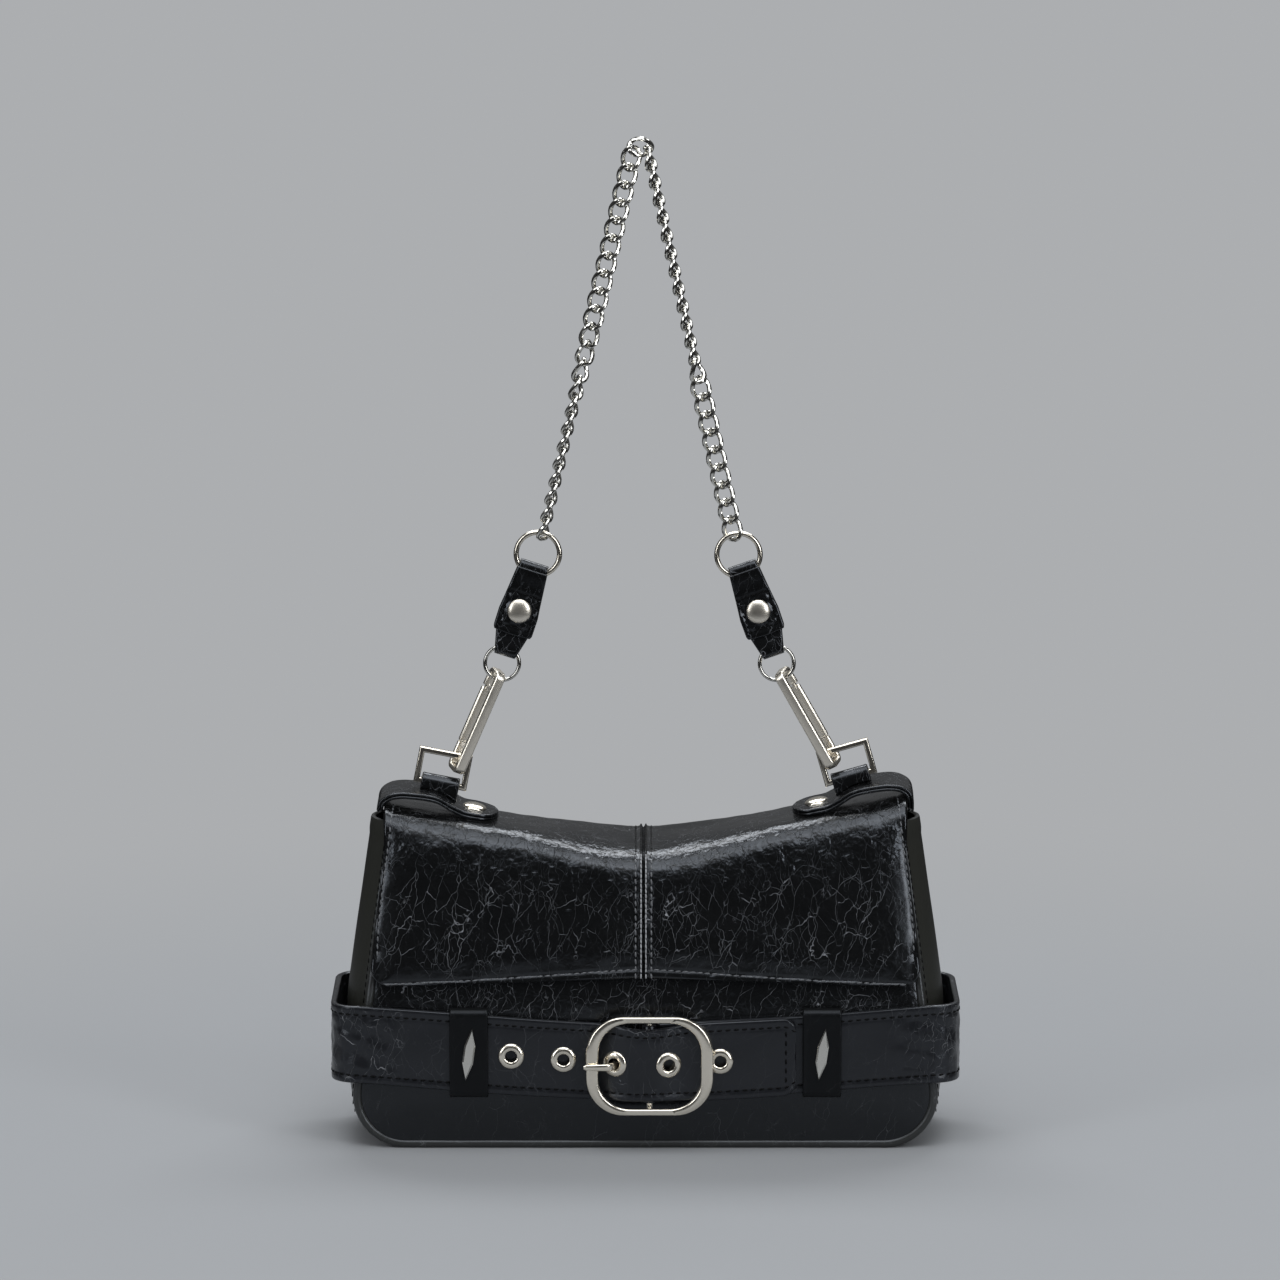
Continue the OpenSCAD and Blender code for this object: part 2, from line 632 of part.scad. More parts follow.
// Tongue: turns on the bar, comes out through an eyelet and lies on the frame
module buckle_tongue() {
    dip = bar_out - wrap_r / 2;
    eye = buckle_x - tongue_eye_x;
    eye_out = (long_out_mid + long_out_left + belt_t) / 2;
    top = frame_out + frame_t + tongue_t / 2 + sew_gap;
    run = tan(bump_slope);
    color(nickel) at_bar() translate([0, 0, bar_mid - tongue_w / 2]) difference() {
        union() {
            cylinder(r = wrap_r, h = tongue_w);
            linear_extrude(height = tongue_w) polygon(ribbon([[0, 0],
                [-eye * 0.6, bar_out - dip],
                [-eye + (eye_out - dip) * run, bar_out - dip],
                [-eye - (top - tongue_t - eye_out) * run, bar_out - top + tongue_t / 2],
                [-eye - (top - eye_out) * run - tongue_t, bar_out - top],
                [-frame_w / 2, bar_out - top]], tongue_t));
        }
        translate([0, 0, -tongue_w]) cylinder(r = bar_d / 2 + bar_fit, h = 3 * tongue_w);
    }
}

// Shoulder strips, riveted to the yoke and turned down beside the flap
strip_x = flap_top_w / 2 + strip_reach;
ring_x = strip_x - ring_inset;
rivet_x = strip_x - strip_l + rivet_d;
strip_y = (yoke_front_y(ring_x) + yoke_back_y(ring_x)) / 2;
yoke_a = atan2(yoke_rise, yoke_back_y(ring_x) - yoke_front_y(ring_x));
strip_shares = [[0, 0], [0.12, 0], [0.3, 0.02], [0.4, 0.42], [0.48, 0.85], [0.55, 1], [0.66, 1], [0.8, 0.9], [0.9, 0.62]];
function strip_mid(s, x) = fold_z(s * x) + yoke_rise / 2;
function strip_path(s) = concat(
    [for (p = strip_shares) let (x = strip_x - strip_l + (strip_l - strip_t / 2) * p[0])
        [x, strip_mid(s, x) + strip_arch * p[1] + 2 * sew_gap + strip_t / 2]],
    [[strip_x - strip_t * 0.9, strip_mid(s, strip_x) + strip_t * 0.75],
        [strip_x - strip_t / 2, strip_mid(s, strip_x) - strip_t * 0.2],
        [strip_x - strip_t / 2, gusset_h + shoulder_skew * 1.1]]);
// Height of a strip's top face above the base, seen along the yoke's slope
function strip_top(s, x) = lookup(x, strip_path(s)) + strip_t / 2;
module tilt_to_yoke(s) {
    translate([0, strip_y, strip_mid(s, ring_x)]) rotate([yoke_a, 0, 0])
        translate([0, 0, -strip_mid(s, ring_x)]) children();
}
module on_strip(s, x, above) {
    slope = atan2(fold_z(s * (x + strip_t)) - fold_z(s * x), strip_t);
    tilt_to_yoke(s) translate([s * x, 0, strip_mid(s, x) + 2 * sew_gap + strip_t])
        rotate([0, -s * slope, 0]) translate([0, 0, above]) children();
}
module strip(s) {
    difference() {
        tilt_to_yoke(s) intersection() {
            xz_prism([for (p = ribbon(strip_path(s), strip_t)) [s * p[0], p[1]]], strip_w);
            translate([s * (strip_x - strip_l + strip_w / 2), 0, 0]) {
                cylinder(d = strip_w, h = 2 * fold_h);
                translate([s * strip_l / 2, 0, fold_h]) cube([strip_l, strip_w, 2 * fold_h], center = true);
            }
        }
        on_strip(s, rivet_x, -2 * strip_t) cylinder(d = shank_d + sew_gap, h = 3 * strip_t);
    }
}
module strip_left() {
    color(leather) strip(LEFT);
}
module strip_right() {
    color(leather) strip(RIGHT);
}
module dome(d, h) {
    r = (d * d / 4 + h * h) / (2 * h);
    intersection() {
        translate([0, 0, h - r]) sphere(r = r);
        cylinder(d = d, h = 2 * h);
    }
}
module strip_rivets() {
    color(nickel) for (s = [LEFT, RIGHT]) on_strip(s, rivet_x, 2 * sew_gap) {
        dome(rivet_d, rivet_h);
        translate([0, 0, -strip_t - yoke_t]) cylinder(d = shank_d, h = strip_t + yoke_t);
    }
}

// Rectangular rings and their leather loops. The frame of a ring is its lower bar's centre.
loop_r = ring_bar * sqrt(2) / 2 + loop_gap;
bar_rise = loop_r + loop_t / 2 + loop_stand;
function ring_tilt(s) = s == LEFT ? ring_tilt_left : ring_tilt_right;
function ring_foot(s) = [s * ring_x, strip_top(s, ring_x) + bar_rise];
module at_ring(s) {
    foot = ring_foot(s);
    translate([foot[0], strip_y, foot[1]]) rotate([0, -s * ring_tilt(s), 0]) children();
}
module ring_loop(s) {
    r = loop_r + loop_t / 2;
    low = -bar_rise - strip_arch;
    floor_z = gusset_h - strip_arch;
    top = [for (p = strip_path(s)) [s * p[0], p[1] + strip_t / 2 + 3 * sew_gap]];
    difference() {
        at_ring(s) yz_prism(ribbon(concat([[-r, low]], arc([0, 0], r, 180, 0, 10), [[r, low]]), loop_t), loop_w);
        tilt_to_yoke(s) xz_prism(concat(top, [[s * strip_x, floor_z], [s * (strip_x - strip_l), floor_z]]), strip_w);
    }
}
module ring_loop_left() {
    color(leather) ring_loop(LEFT);
}
module ring_loop_right() {
    color(leather) ring_loop(RIGHT);
}
module ring(s) {
    at_ring(s) translate([0, 0, ring_h / 2 - ring_bar / 2]) rotate([90, 0, 0])
        linear_extrude(height = ring_bar, center = true) difference() {
            square([ring_w, ring_h], center = true);
            square([ring_w - 2 * ring_bar, ring_h - 2 * ring_bar], center = true);
        }
}
module ring_left() {
    color(nickel) ring(LEFT);
}
module ring_right() {
    color(nickel) ring(RIGHT);
}

// Clips. The frame of a clip is the lower ring's wire inside its upper bend, Z up along the clip.
function turned(s, a) = [-s * sin(a), cos(a)];
function clip_lean(s) = s == LEFT ? clip_lean_left : clip_lean_right;
function clip_dir(s) = turned(s, clip_lean(s));
function clip_foot(s) = let (up = turned(s, ring_tilt(s)), along = [-s * up[1], s * up[0]])
    ring_foot(s) + (ring_h - ring_bar) * up + clip_reach * along;
function wire_rise(r, half) = r - sqrt(r * r - half * half);
lower_r = (lower_ring_d - lower_wire) / 2;
clip_head = lower_wire / 2 + wire_gap + wire_rise(lower_r, clip_w / (2 * cos(clip_turn)));
clip_inner = clip_l - 2 * clip_t;
function clip_eye(s) = clip_foot(s) + (clip_inner - clip_rest - clip_head) * clip_dir(s);
module at_clip(s) {
    eye = clip_eye(s);
    translate([eye[0], strip_y, eye[1]]) rotate([0, -s * clip_lean(s), 0]) rotate([0, 0, -s * clip_turn]) children();
}
module along_x() {
    rotate([90, 0, 90]) linear_extrude(height = clip_w, center = true) children();
}
clip_corner = 3.4 / 13.4 * clip_d;
pin_z = clip_head - gate_drop;
pin_y = clip_d / 2 - clip_t / 2;
gate_end = pin_z - gate_l;
pin_room = clip_t * 0.8;
module clip(s) {
    low = clip_head - clip_inner;
    mid = (low + clip_head) / 2;
    at_clip(s) difference() {
        union() {
            along_x() difference() {
                translate([0, mid]) rounded(clip_d, clip_l, clip_corner);
                translate([0, mid]) rounded(clip_d - 2 * clip_t, clip_inner, clip_corner - clip_t / 2);
                translate([clip_d / 2 - clip_t - sew_gap, gate_end - 2 * sew_gap])
                    square([clip_t + clip_d, pin_z - gate_end + pin_room + 2 * sew_gap]);
            }
            translate([0, pin_y, pin_z]) rotate([0, 90, 0]) cylinder(d = clip_t, h = clip_w * 0.36, center = true);
            translate([0, pin_y, pin_z + pin_room / 2]) cube([clip_w * 0.36, clip_t, pin_room], center = true);
            translate([0, pin_y, pin_z + pin_room]) cube([clip_w * 0.36, clip_t, pin_room], center = true);
        }
        translate([0, pin_y, pin_z]) rotate([0, 90, 0]) cylinder(d = pin_d, h = 2 * clip_w, center = true);
    }
}
module clip_left() {
    color(nickel) clip(LEFT);
}
module clip_right() {
    color(nickel) clip(RIGHT);
}
module gate_pins() {
    color(steel) for (s = [LEFT, RIGHT]) at_clip(s) translate([0, pin_y, pin_z]) rotate([0, 90, 0])
        cylinder(d = pin_d, h = clip_w, center = true);
}
module gate(s) {
    slot_w = clip_w * 0.36 + 2 * sew_gap;
    at_clip(s) difference() {
        union() {
            translate([-clip_w / 2, clip_d / 2 - clip_t, gate_end]) cube([clip_w, clip_t, gate_l]);
            translate([0, pin_y, pin_z]) rotate([0, 90, 0]) cylinder(d = clip_t, h = clip_w, center = true);
        }
        translate([0, pin_y, pin_z]) rotate([0, 90, 0]) cylinder(d = pin_d + 2 * pin_fit, h = 2 * clip_w, center = true);
        translate([0, pin_y, pin_z]) rotate([0, 90, 0]) cylinder(r = clip_t * 0.75, h = slot_w, center = true);
    }
}
module gate_left() {
    color(nickel) gate(LEFT);
}
module gate_right() {
    color(nickel) gate(RIGHT);
}

// Round rings and tabs. The frame of a tab is its lower ring's centre, Z up along the tab.
upper_r = (upper_ring_d - upper_wire) / 2;
function tab_lean(s) = s == LEFT ? tab_lean_left : tab_lean_right;
function tab_dir(s) = turned(s, tab_lean(s));
function lower_centre(s) = clip_eye(s) + lower_r * clip_dir(s);
tab_low_w = 0.54 * tab_w;
tab_high_w = 0.77 * tab_w;
low_slot = [lower_r - wire_rise(lower_r, tab_low_w / 2) - lower_wire / 2 - wire_gap, lower_r + lower_wire / 2 + wire_gap];
tab_foot = low_slot[0] - tab_t;
tab_head = tab_foot + tab_l;
high_slot_top = tab_head - tab_t;
ring_span = high_slot_top - wire_gap - upper_wire / 2 - wire_rise(upper_r, tab_high_w / 2) + upper_r;
high_slot = [ring_span - upper_r - upper_wire / 2 - wire_gap, high_slot_top];
function upper_centre(s) = lower_centre(s) + ring_span * tab_dir(s);
module at_tab(s) {
    c = lower_centre(s);
    translate([c[0], strip_y, c[1]]) rotate([0, -s * tab_lean(s), 0]) children();
}
module torus(r, wire) {
    rotate([90, 0, 0]) rotate_extrude() translate([r, 0]) circle(d = wire);
}
module lower_ring(s) {
    at_tab(s) torus(lower_r, lower_wire);
}
module lower_ring_left() {
    color(steel) lower_ring(LEFT);
}
module lower_ring_right() {
    color(steel) lower_ring(RIGHT);
}
module upper_ring(s) {
    at_tab(s) translate([0, 0, ring_span]) torus(upper_r, upper_wire);
}
module upper_ring_left() {
    color(nickel) upper_ring(LEFT);
}
module upper_ring_right() {
    color(nickel) upper_ring(RIGHT);
}
module slot_2d(from, to, half) {
    translate([0, (from + to) / 2]) square([2 * half, to - from - 2 * half], center = true);
    for (z = [from + half, to - half]) translate([0, z]) circle(r = half);
}
tab_d = upper_wire + 2 * wire_gap + 2 * tab_t;
tab_outline_shares = [[0.27, 0], [0.42, 0.26], [0.49, 0.27], [0.5, 0.45], [0.385, 1]];
rivet_share = 0.49;
module tab(s) {
    half_plan = [for (p = tab_outline_shares) [p[0] * tab_w, tab_foot + p[1] * tab_l]];
    rivet_z = tab_foot + rivet_share * tab_l;
    at_tab(s) difference() {
        intersection() {
            rotate([90, 0, 90]) linear_extrude(height = tab_w, center = true) difference() {
                slot_2d(tab_foot, tab_head, tab_d / 2);
                slot_2d(low_slot[0], low_slot[1], lower_wire / 2 + wire_gap);
                slot_2d(high_slot[0], high_slot[1], upper_wire / 2 + wire_gap);
            }
            xz_prism(concat(half_plan, mirrored(half_plan)), tab_w);
        }
        translate([0, 0, rivet_z]) rotate([90, 0, 0]) cylinder(d = shank_d + sew_gap, h = tab_w, center = true);
    }
}
module tab_left() {
    color(leather) tab(LEFT);
}
module tab_right() {
    color(leather) tab(RIGHT);
}
module tab_rivets() {
    color(nickel) for (s = [LEFT, RIGHT]) at_tab(s) translate([0, 0, tab_foot + rivet_share * tab_l]) {
        rotate([90, 0, 0]) cylinder(d = shank_d, h = tab_d + 2 * sew_gap, center = true);
        for (side = [90, -90]) rotate([side, 0, 0]) translate([0, 0, tab_d / 2 + sew_gap]) dome(rivet_d, rivet_h);
    }
}

// Chain: two straight runs from the upper rings to one level link at the top
link_half = link_l / 2 - link_wire / 2;
link_end_r = link_w / 2 - link_wire / 2;
pitch = 2 * link_half - link_wire - link_gap;
first_off = link_half - upper_wire / 2 - link_wire / 2 - ring_slack;
run = first_off + (link_count - 1) * pitch + link_half;
hook_x = link_half - link_wire - link_gap;
function chain_root(s) = upper_centre(s) + upper_r * turned(s, chain_lean);
apex_gap = chain_root(RIGHT) - chain_root(LEFT) - [2 * hook_x, 0];
apex = (chain_root(LEFT) + chain_root(RIGHT)) / 2
    + sqrt(run * run - apex_gap * apex_gap / 4) * unit([-apex_gap[1], apex_gap[0]]);
function chain_end(s) = apex + [s * hook_x, 0];
module link() {
    side = link_half - link_end_r;
    for (turn = [0, 180]) rotate([0, turn, 0]) {
        translate([0, 0, side]) rotate([90, 0, 0]) rotate_extrude(angle = 180, $fn = 24)
            translate([link_end_r, 0]) circle(d = link_wire);
        translate([link_end_r, 0, -side]) cylinder(d = link_wire, h = 2 * side);
    }
}
module chain(s) {
    root = chain_root(s);
    dir = unit(chain_end(s) - root);
    for (i = [0:link_count - 1]) {
        at = root + (first_off + i * pitch) * dir;
        translate([at[0], strip_y, at[1]]) rotate([0, atan2(dir[0], dir[1]), 0])
            rotate([0, 0, (i % 2 == 0 ? 90 : 0) - chain_twist * i / (link_count - 1)]) link();
    }
}
module chain_left() {
    color(steel) chain(LEFT);
}
module chain_right() {
    color(steel) chain(RIGHT);
}
module chain_top() {
    color(steel) translate([apex[0], strip_y, apex[1]]) rotate([0, 90, 0]) link();
}

front_panel();
back_panel();
gusset_left();
gusset_right();
base_panel();
base_board();
piping_front();
piping_back();
lining();
yoke();
panel_magnet();
belt_long();
belt_short();
eyelets();
keeper_left();
keeper_right();
keeper_studs();
strip_left();
strip_right();
strip_rivets();
ring_loop_left();
ring_loop_right();
flap();
flap_facing();
flap_magnet();
buckle_frame();
buckle_tongue();
ring_left();
ring_right();
clip_left();
clip_right();
gate_pins();
gate_left();
gate_right();
lower_ring_left();
lower_ring_right();
tab_left();
tab_right();
tab_rivets();
upper_ring_left();
upper_ring_right();
chain_left();
chain_right();
chain_top();
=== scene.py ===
"""Shoulder bag in black crackled leather: soft shell, buckled belt, clips, tabs and curb chain.

Every length in this file is in millimetres until a mesh is made, and the frame is the bag's
own: X to the right, Y to the back, Z up, the origin in the middle of the base.
"""

import json
import logging
import math
from dataclasses import dataclass
from enum import Enum
from typing import Sequence

import bmesh
import bpy
import numpy as np
from bpy.types import Material, Mesh, Node, NodeOutputs, NodeSocket, NodeTree, Object
from mathutils import Matrix, Vector

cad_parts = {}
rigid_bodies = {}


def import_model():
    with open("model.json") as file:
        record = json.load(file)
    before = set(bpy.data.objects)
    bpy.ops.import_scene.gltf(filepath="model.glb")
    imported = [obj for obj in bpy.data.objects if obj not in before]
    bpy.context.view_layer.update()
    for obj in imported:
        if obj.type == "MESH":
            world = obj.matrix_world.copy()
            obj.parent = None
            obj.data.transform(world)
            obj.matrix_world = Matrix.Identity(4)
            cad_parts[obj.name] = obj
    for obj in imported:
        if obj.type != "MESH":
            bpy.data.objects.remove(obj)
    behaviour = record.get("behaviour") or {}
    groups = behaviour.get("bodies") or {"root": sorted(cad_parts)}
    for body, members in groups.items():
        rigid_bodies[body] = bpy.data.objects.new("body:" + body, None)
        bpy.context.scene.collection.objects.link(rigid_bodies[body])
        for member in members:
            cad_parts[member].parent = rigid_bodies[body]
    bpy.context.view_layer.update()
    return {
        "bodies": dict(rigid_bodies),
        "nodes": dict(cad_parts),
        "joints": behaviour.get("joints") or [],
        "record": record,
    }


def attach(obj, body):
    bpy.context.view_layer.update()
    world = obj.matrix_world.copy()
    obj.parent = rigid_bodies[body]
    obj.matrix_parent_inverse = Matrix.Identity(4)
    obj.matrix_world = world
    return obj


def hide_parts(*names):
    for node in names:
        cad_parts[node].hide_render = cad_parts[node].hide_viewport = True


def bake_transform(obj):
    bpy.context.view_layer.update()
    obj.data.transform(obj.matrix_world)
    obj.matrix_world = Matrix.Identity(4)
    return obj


LOG = logging.getLogger("bag")
FRAME: dict = {}
MM = 0.001
SHARP = math.radians(32)
# Distances in metres at which points are merged, on solids and on sheets.
WELD = 1e-7
SHEET_WELD = 1e-6
# Pixels of the photograph per millimetre, and across it.
PHOTO_SCALE = 2.2
PHOTO_SIZE = 1280
FLOAT_SOCKET = "NodeSocketFloat"
Array = np.ndarray
Point = tuple[float, float]
Triple = tuple[float, float, float]
Colour = Triple
Part = tuple[Array, list[tuple[int, ...]]]
Rows = list[tuple[Array, Array]]


class Side(Enum):
    """The two ends of the bag."""

    LEFT = -1
    RIGHT = 1

    @property
    def tag(self) -> str:
        """The side's word in names of pieces."""
        return self.name.lower()


# Numbers and vectors.


def unit(v: Array) -> Array:
    """Vectors scaled to length one."""
    v = np.asarray(v, float)
    return v / np.maximum(np.linalg.norm(v, axis=-1, keepdims=True), 1e-9)


def xyz(x: Array, y: Array, z: Array) -> Array:
    """Points from their coordinates, each of them an array or one number."""
    return np.stack(np.broadcast_arrays(x, y, z), axis=-1)


def smooth(x: Array, low: float, high: float) -> Array:
    """Smooth step from 0 at low to 1 at high."""
    t = np.clip((np.asarray(x, float) - low) / (high - low), 0, 1)
    return t * t * (3 - 2 * t)


def bump(x: Array, centre: float, width: float) -> Array:
    """Bell of height 1 around a centre."""
    return np.exp(-(((np.asarray(x, float) - centre) / width) ** 2))


def ripple(a: Array, b: Array, seed: int, cell: float) -> Array:
    """Soft seeded waves over two coordinates, about -1 to 1.

    Args:
        a: first coordinate.
        b: second coordinate.
        seed: picks the waves.
        cell: usual length of a wave.

    Returns:
        One value for each point.
    """
    rng = np.random.default_rng(seed)
    total = np.zeros(np.broadcast(a, b).shape)
    for _ in range(7):
        angle = rng.uniform(0, math.tau)
        size = cell * rng.uniform(0.6, 1.7)
        phase = rng.uniform(0, math.tau)
        total = total + np.sin((a * math.cos(angle) + b * math.sin(angle)) * math.tau / size + phase)
    return total / 4


def arc2(cx: float, cy: float, r: float, start: float, end: float, steps: int) -> list[Point]:
    """Points on a flat arc, angles in degrees, both ends included."""
    turns = [math.radians(a) for a in np.linspace(start, end, steps + 1)]
    return [(cx + r * math.cos(a), cy + r * math.sin(a)) for a in turns]


def run_along(points: Array) -> Array:
    """Length run from the first point of a line to each of its points."""
    return np.concatenate([[0], np.cumsum(np.linalg.norm(np.diff(points, axis=0), axis=1))])


def resample(points: Array, step: float) -> Array:
    """Points spaced evenly along a line of straight pieces.

    Args:
        points: the line's corners.
        step: wanted distance.

    Returns:
        The new points, with both ends of the line.
    """
    points = np.asarray(points, float)
    run = run_along(points)
    count = max(2, int(round(run[-1] / step)) + 1)
    at = np.linspace(0, run[-1], count)
    return np.stack([np.interp(at, run, points[:, k]) for k in range(points.shape[1])], axis=1)


def rounded_line(points: Array, step: float, passes: int) -> Array:
    """A line of straight pieces, resampled and eased at its corners.

    Args:
        points: the line's corners.
        step: distance between the new points.
        passes: how often the line is eased.

    Returns:
        The eased line.
    """
    line = resample(points, step)
    for _ in range(passes):
        line[1:-1] = 0.25 * line[:-2] + 0.5 * line[1:-1] + 0.25 * line[2:]
    return line


def edge_stations(length: float, count: int, rim: float) -> Array:
    """Stations from 0 to length, close together near both ends so that an edge can be rounded.

    Args:
        length: the last station.
        count: number of even stations between the rims.
        rim: scale of the close ones.

    Returns:
        The stations in order.
    """
    near = rim * np.array([0, 0.08, 0.3, 0.65, 1.15, 1.9])
    inner = np.linspace(near[-1], length - near[-1], max(3, count))
    return np.concatenate([near[:-1], inner, length - near[:-1][::-1]])


# Meshes.


def mesh_object(name: str, verts: Array, faces: Sequence[Sequence[int]], material: Material,
                sharp: float = SHARP) -> Object:
    """Makes a mesh object from points in millimetres.

    Args:
        name: name of the piece.
        verts: points, one row each.
        faces: point numbers of each face.
        material: finish of the piece.
        sharp: angle past which an edge is shaded hard.

    Returns:
        The object, at the origin.
    """
    mesh = bpy.data.meshes.new(name)
    points = [tuple(v) for v in np.asarray(verts, float) * MM]
    mesh.from_pydata(points, [], [tuple(int(i) for i in f) for f in faces])
    mesh.validate()
    mesh.update()
    mesh.materials.append(material)
    mesh.shade_smooth()
    mesh.set_sharp_from_angle(angle=sharp)
    return linked(name, mesh)


def linked(name: str, mesh: Mesh) -> Object:
    """Puts a mesh in the scene as an object."""
    obj = bpy.data.objects.new(name, mesh)
    bpy.context.scene.collection.objects.link(obj)
    return obj


def grid_faces(rows: int, cols: int, close_rows: bool = False, close_cols: bool = False, first: int = 0,
               flip: bool = False) -> list[tuple[int, ...]]:
    """Four-sided faces over a grid of points, row after row.

    Args:
        rows: number of rows.
        cols: points in a row.
        close_rows: whether the last row joins the first.
        close_cols: whether each row's last point joins its first.
        first: number of the grid's first point.
        flip: whether the faces look the other way.

    Returns:
        The point numbers of each face.
    """
    faces = []
    for i in range(rows if close_rows else rows - 1):
        for j in range(cols if close_cols else cols - 1):
            here, below = first + i * cols, first + ((i + 1) % rows) * cols
            ahead = (j + 1) % cols
            a, b, c, d = here + j, here + ahead, below + ahead, below + j
            faces.append((a, d, c, b) if flip else (a, b, c, d))
    return faces


def grid_normals(grid: Array) -> Array:
    """Normals of a grid of points, along rows crossed with columns."""
    return unit(np.cross(np.gradient(grid, axis=0), np.gradient(grid, axis=1)))


def offset(grid: Array, distance: float) -> Array:
    """A grid of points moved along its own normals."""
    return grid + grid_normals(grid) * distance


def moved(points: Array, matrix: Matrix) -> Array:
    """Points moved by a matrix in millimetres."""
    m = np.array(matrix)
    return np.asarray(points, float) @ m[:3, :3].T + m[:3, 3]


def placed(part: Part, matrix: Matrix) -> Part:
    """Points and faces moved by a matrix in millimetres."""
    return moved(part[0], matrix), part[1]


def set_mask(obj: Object, name: str, values: Array) -> None:
    """Stores one number for each point of a mesh."""
    attribute = obj.data.attributes.new(name, "FLOAT", "POINT")
    attribute.data.foreach_set("value", np.asarray(values, np.float32).ravel())


@dataclass
class Hide:
    """A sheet of leather laid over a grid of points in the middle of its thickness.

    The grid's rows crossed with its columns point to the side that shows.
    """

    name: str
    grid: Array
    thick: float
    material: Material
    relief: Array | float = 0.0
    rim: float = 1.0
    crackle: Array | float = 1.0
    # Mask where crease lines are painted dark, as painted shade across a highlight band.
    dark_lines: Array | float = 0.0

    def edge_share(self) -> Array:
        """How full the sheet is at each point: 0 at its rim, 1 inside."""
        rows, cols = self.grid.shape[:2]
        du = np.linalg.norm(np.diff(self.grid, axis=0), axis=2)
        dv = np.linalg.norm(np.diff(self.grid, axis=1), axis=2)
        su = np.concatenate([np.zeros((1, cols)), np.cumsum(du, axis=0)])
        sv = np.concatenate([np.zeros((rows, 1)), np.cumsum(dv, axis=1)], axis=1)
        near = np.minimum(np.minimum(sv, sv[:, -1:] - sv), np.minimum(su, su[-1:] - su))
        t = np.clip(near / self.rim, 0, 1)
        return np.sqrt(np.clip(1 - (1 - t) ** 2, 0, 1))

    def build(self) -> Object:
        """Makes the closed sheet with rounded edges.

        Returns:
            The sheet's object, with its crackle masks.
        """
        rows, cols = self.grid.shape[:2]
        normal = grid_normals(self.grid)
        share = self.edge_share()[..., None]
        relief = np.broadcast_to(np.asarray(self.relief, float), (rows, cols))[..., None]
        outer = self.grid + normal * (self.thick / 2 + relief) * share
        inner = self.grid - normal * self.thick / 2 * share
        verts = np.concatenate([outer.reshape(-1, 3), inner.reshape(-1, 3)])
        second = rows * cols
        faces = grid_faces(rows, cols) + grid_faces(rows, cols, first=second, flip=True)
        rim_loop = [(0, j) for j in range(cols)]
        rim_loop += [(i, cols - 1) for i in range(1, rows)]
        rim_loop += [(rows - 1, j) for j in range(cols - 2, -1, -1)]
        rim_loop += [(i, 0) for i in range(rows - 2, 0, -1)]
        ids = [i * cols + j for i, j in rim_loop]
        faces += [(b, a, a + second, b + second) for a, b in zip(ids, ids[1:] + ids[:1])]
        obj = mesh_object(self.name, verts, faces, self.material)
        weld(obj, SHEET_WELD)
        places = np.array([v.co for v in obj.data.vertices]) / MM
        for mask, values in (("crackle", self.crackle), ("dark_lines", self.dark_lines)):
            flat = np.broadcast_to(np.asarray(values, float), (rows, cols)).ravel()
            flat = np.concatenate([flat, flat])
            set_mask(obj, mask, flat if len(places) == len(verts) else nearest_values(places, verts, flat))
        return obj


def nearest_values(points: Array, source: Array, values: Array) -> Array:
    """For each point, the value at the same place in the source points."""
    keys = {tuple(np.round(p, 3)): v for p, v in zip(source, values)}
    return np.array([keys.get(tuple(np.round(p, 3)), 1.0) for p in points])


def weld(obj: Object, distance: float = WELD) -> None:
    """Merges points that lie together and turns the faces outwards.

    Args:
        obj: the piece.
        distance: how near, in metres.
    """
    work = bmesh.new()
    work.from_mesh(obj.data)
    bmesh.ops.remove_doubles(work, verts=work.verts, dist=distance)
    bmesh.ops.recalc_face_normals(work, faces=work.faces)
    work.to_mesh(obj.data)
    work.free()
    obj.data.update()


def sweep(path: Array, across: Array, out: Array, section: Array, closed: bool = False) -> Part:
    """Runs a closed flat section along a path.

    Args:
        path: points of the path.
        across: direction of the section's first axis at each point.
        out: direction of its second axis.
        section: the section's points, either one for the whole path or one for each point.
        closed: whether the path runs back to its start.

    Returns:
        Points and faces.
    """
    path, across, out = (np.asarray(v, float) for v in (path, across, out))
    section = np.asarray(section, float)
    if section.ndim == 2:
        section = np.broadcast_to(section, (len(path),) + section.shape)
    verts = path[:, None] + section[..., :1] * across[:, None] + section[..., 1:] * out[:, None]
    rows, cols = section.shape[:2]
    faces = grid_faces(rows, cols, close_rows=closed, close_cols=True)
    if not closed:
        faces.append(tuple(range(cols - 1, -1, -1)))
        faces.append(tuple((rows - 1) * cols + j for j in range(cols)))
    return verts.reshape(-1, 3), faces


def rod(path: Sequence[Sequence[float]], across: Triple, out: Triple, section: Array) -> Part:
    """Runs a section along a straight path with the same axes all the way."""
    return sweep(path, [across] * len(path), [out] * len(path), section)


def round_section(r: float, steps: int = 14) -> Array:
    """Round section."""
    return np.array(arc2(0, 0, r, 0, 360, steps)[:-1])


def bar_section(w: float, h: float, chamfer: float) -> Array:
    """Rectangular section with chamfered corners."""
    a, b, c = w / 2, h / 2, chamfer
    right = [(a, c - b), (a, b - c), (a - c, b), (c - a, b)]
    return np.array(right + [(-x, -y) for x, y in right])


def path_frame(path: Array, across: Array, closed: bool = False) -> tuple[Array, Array]:
    """Section axes along a path that keeps one side square to a fixed direction.

    Args:
        path: points of the path.
        across: the fixed direction.
        closed: whether the path runs back to its start.

    Returns:
        Directions of the section's two axes at each point.
    """
    path = np.asarray(path, float)
    if closed:
        tangent = np.roll(path, -1, axis=0) - np.roll(path, 1, axis=0)
    else:
        tangent = np.gradient(path, axis=0)
    across = np.broadcast_to(np.asarray(across, float), path.shape)
    out = unit(np.cross(tangent, across))
    return unit(np.cross(out, tangent)), out


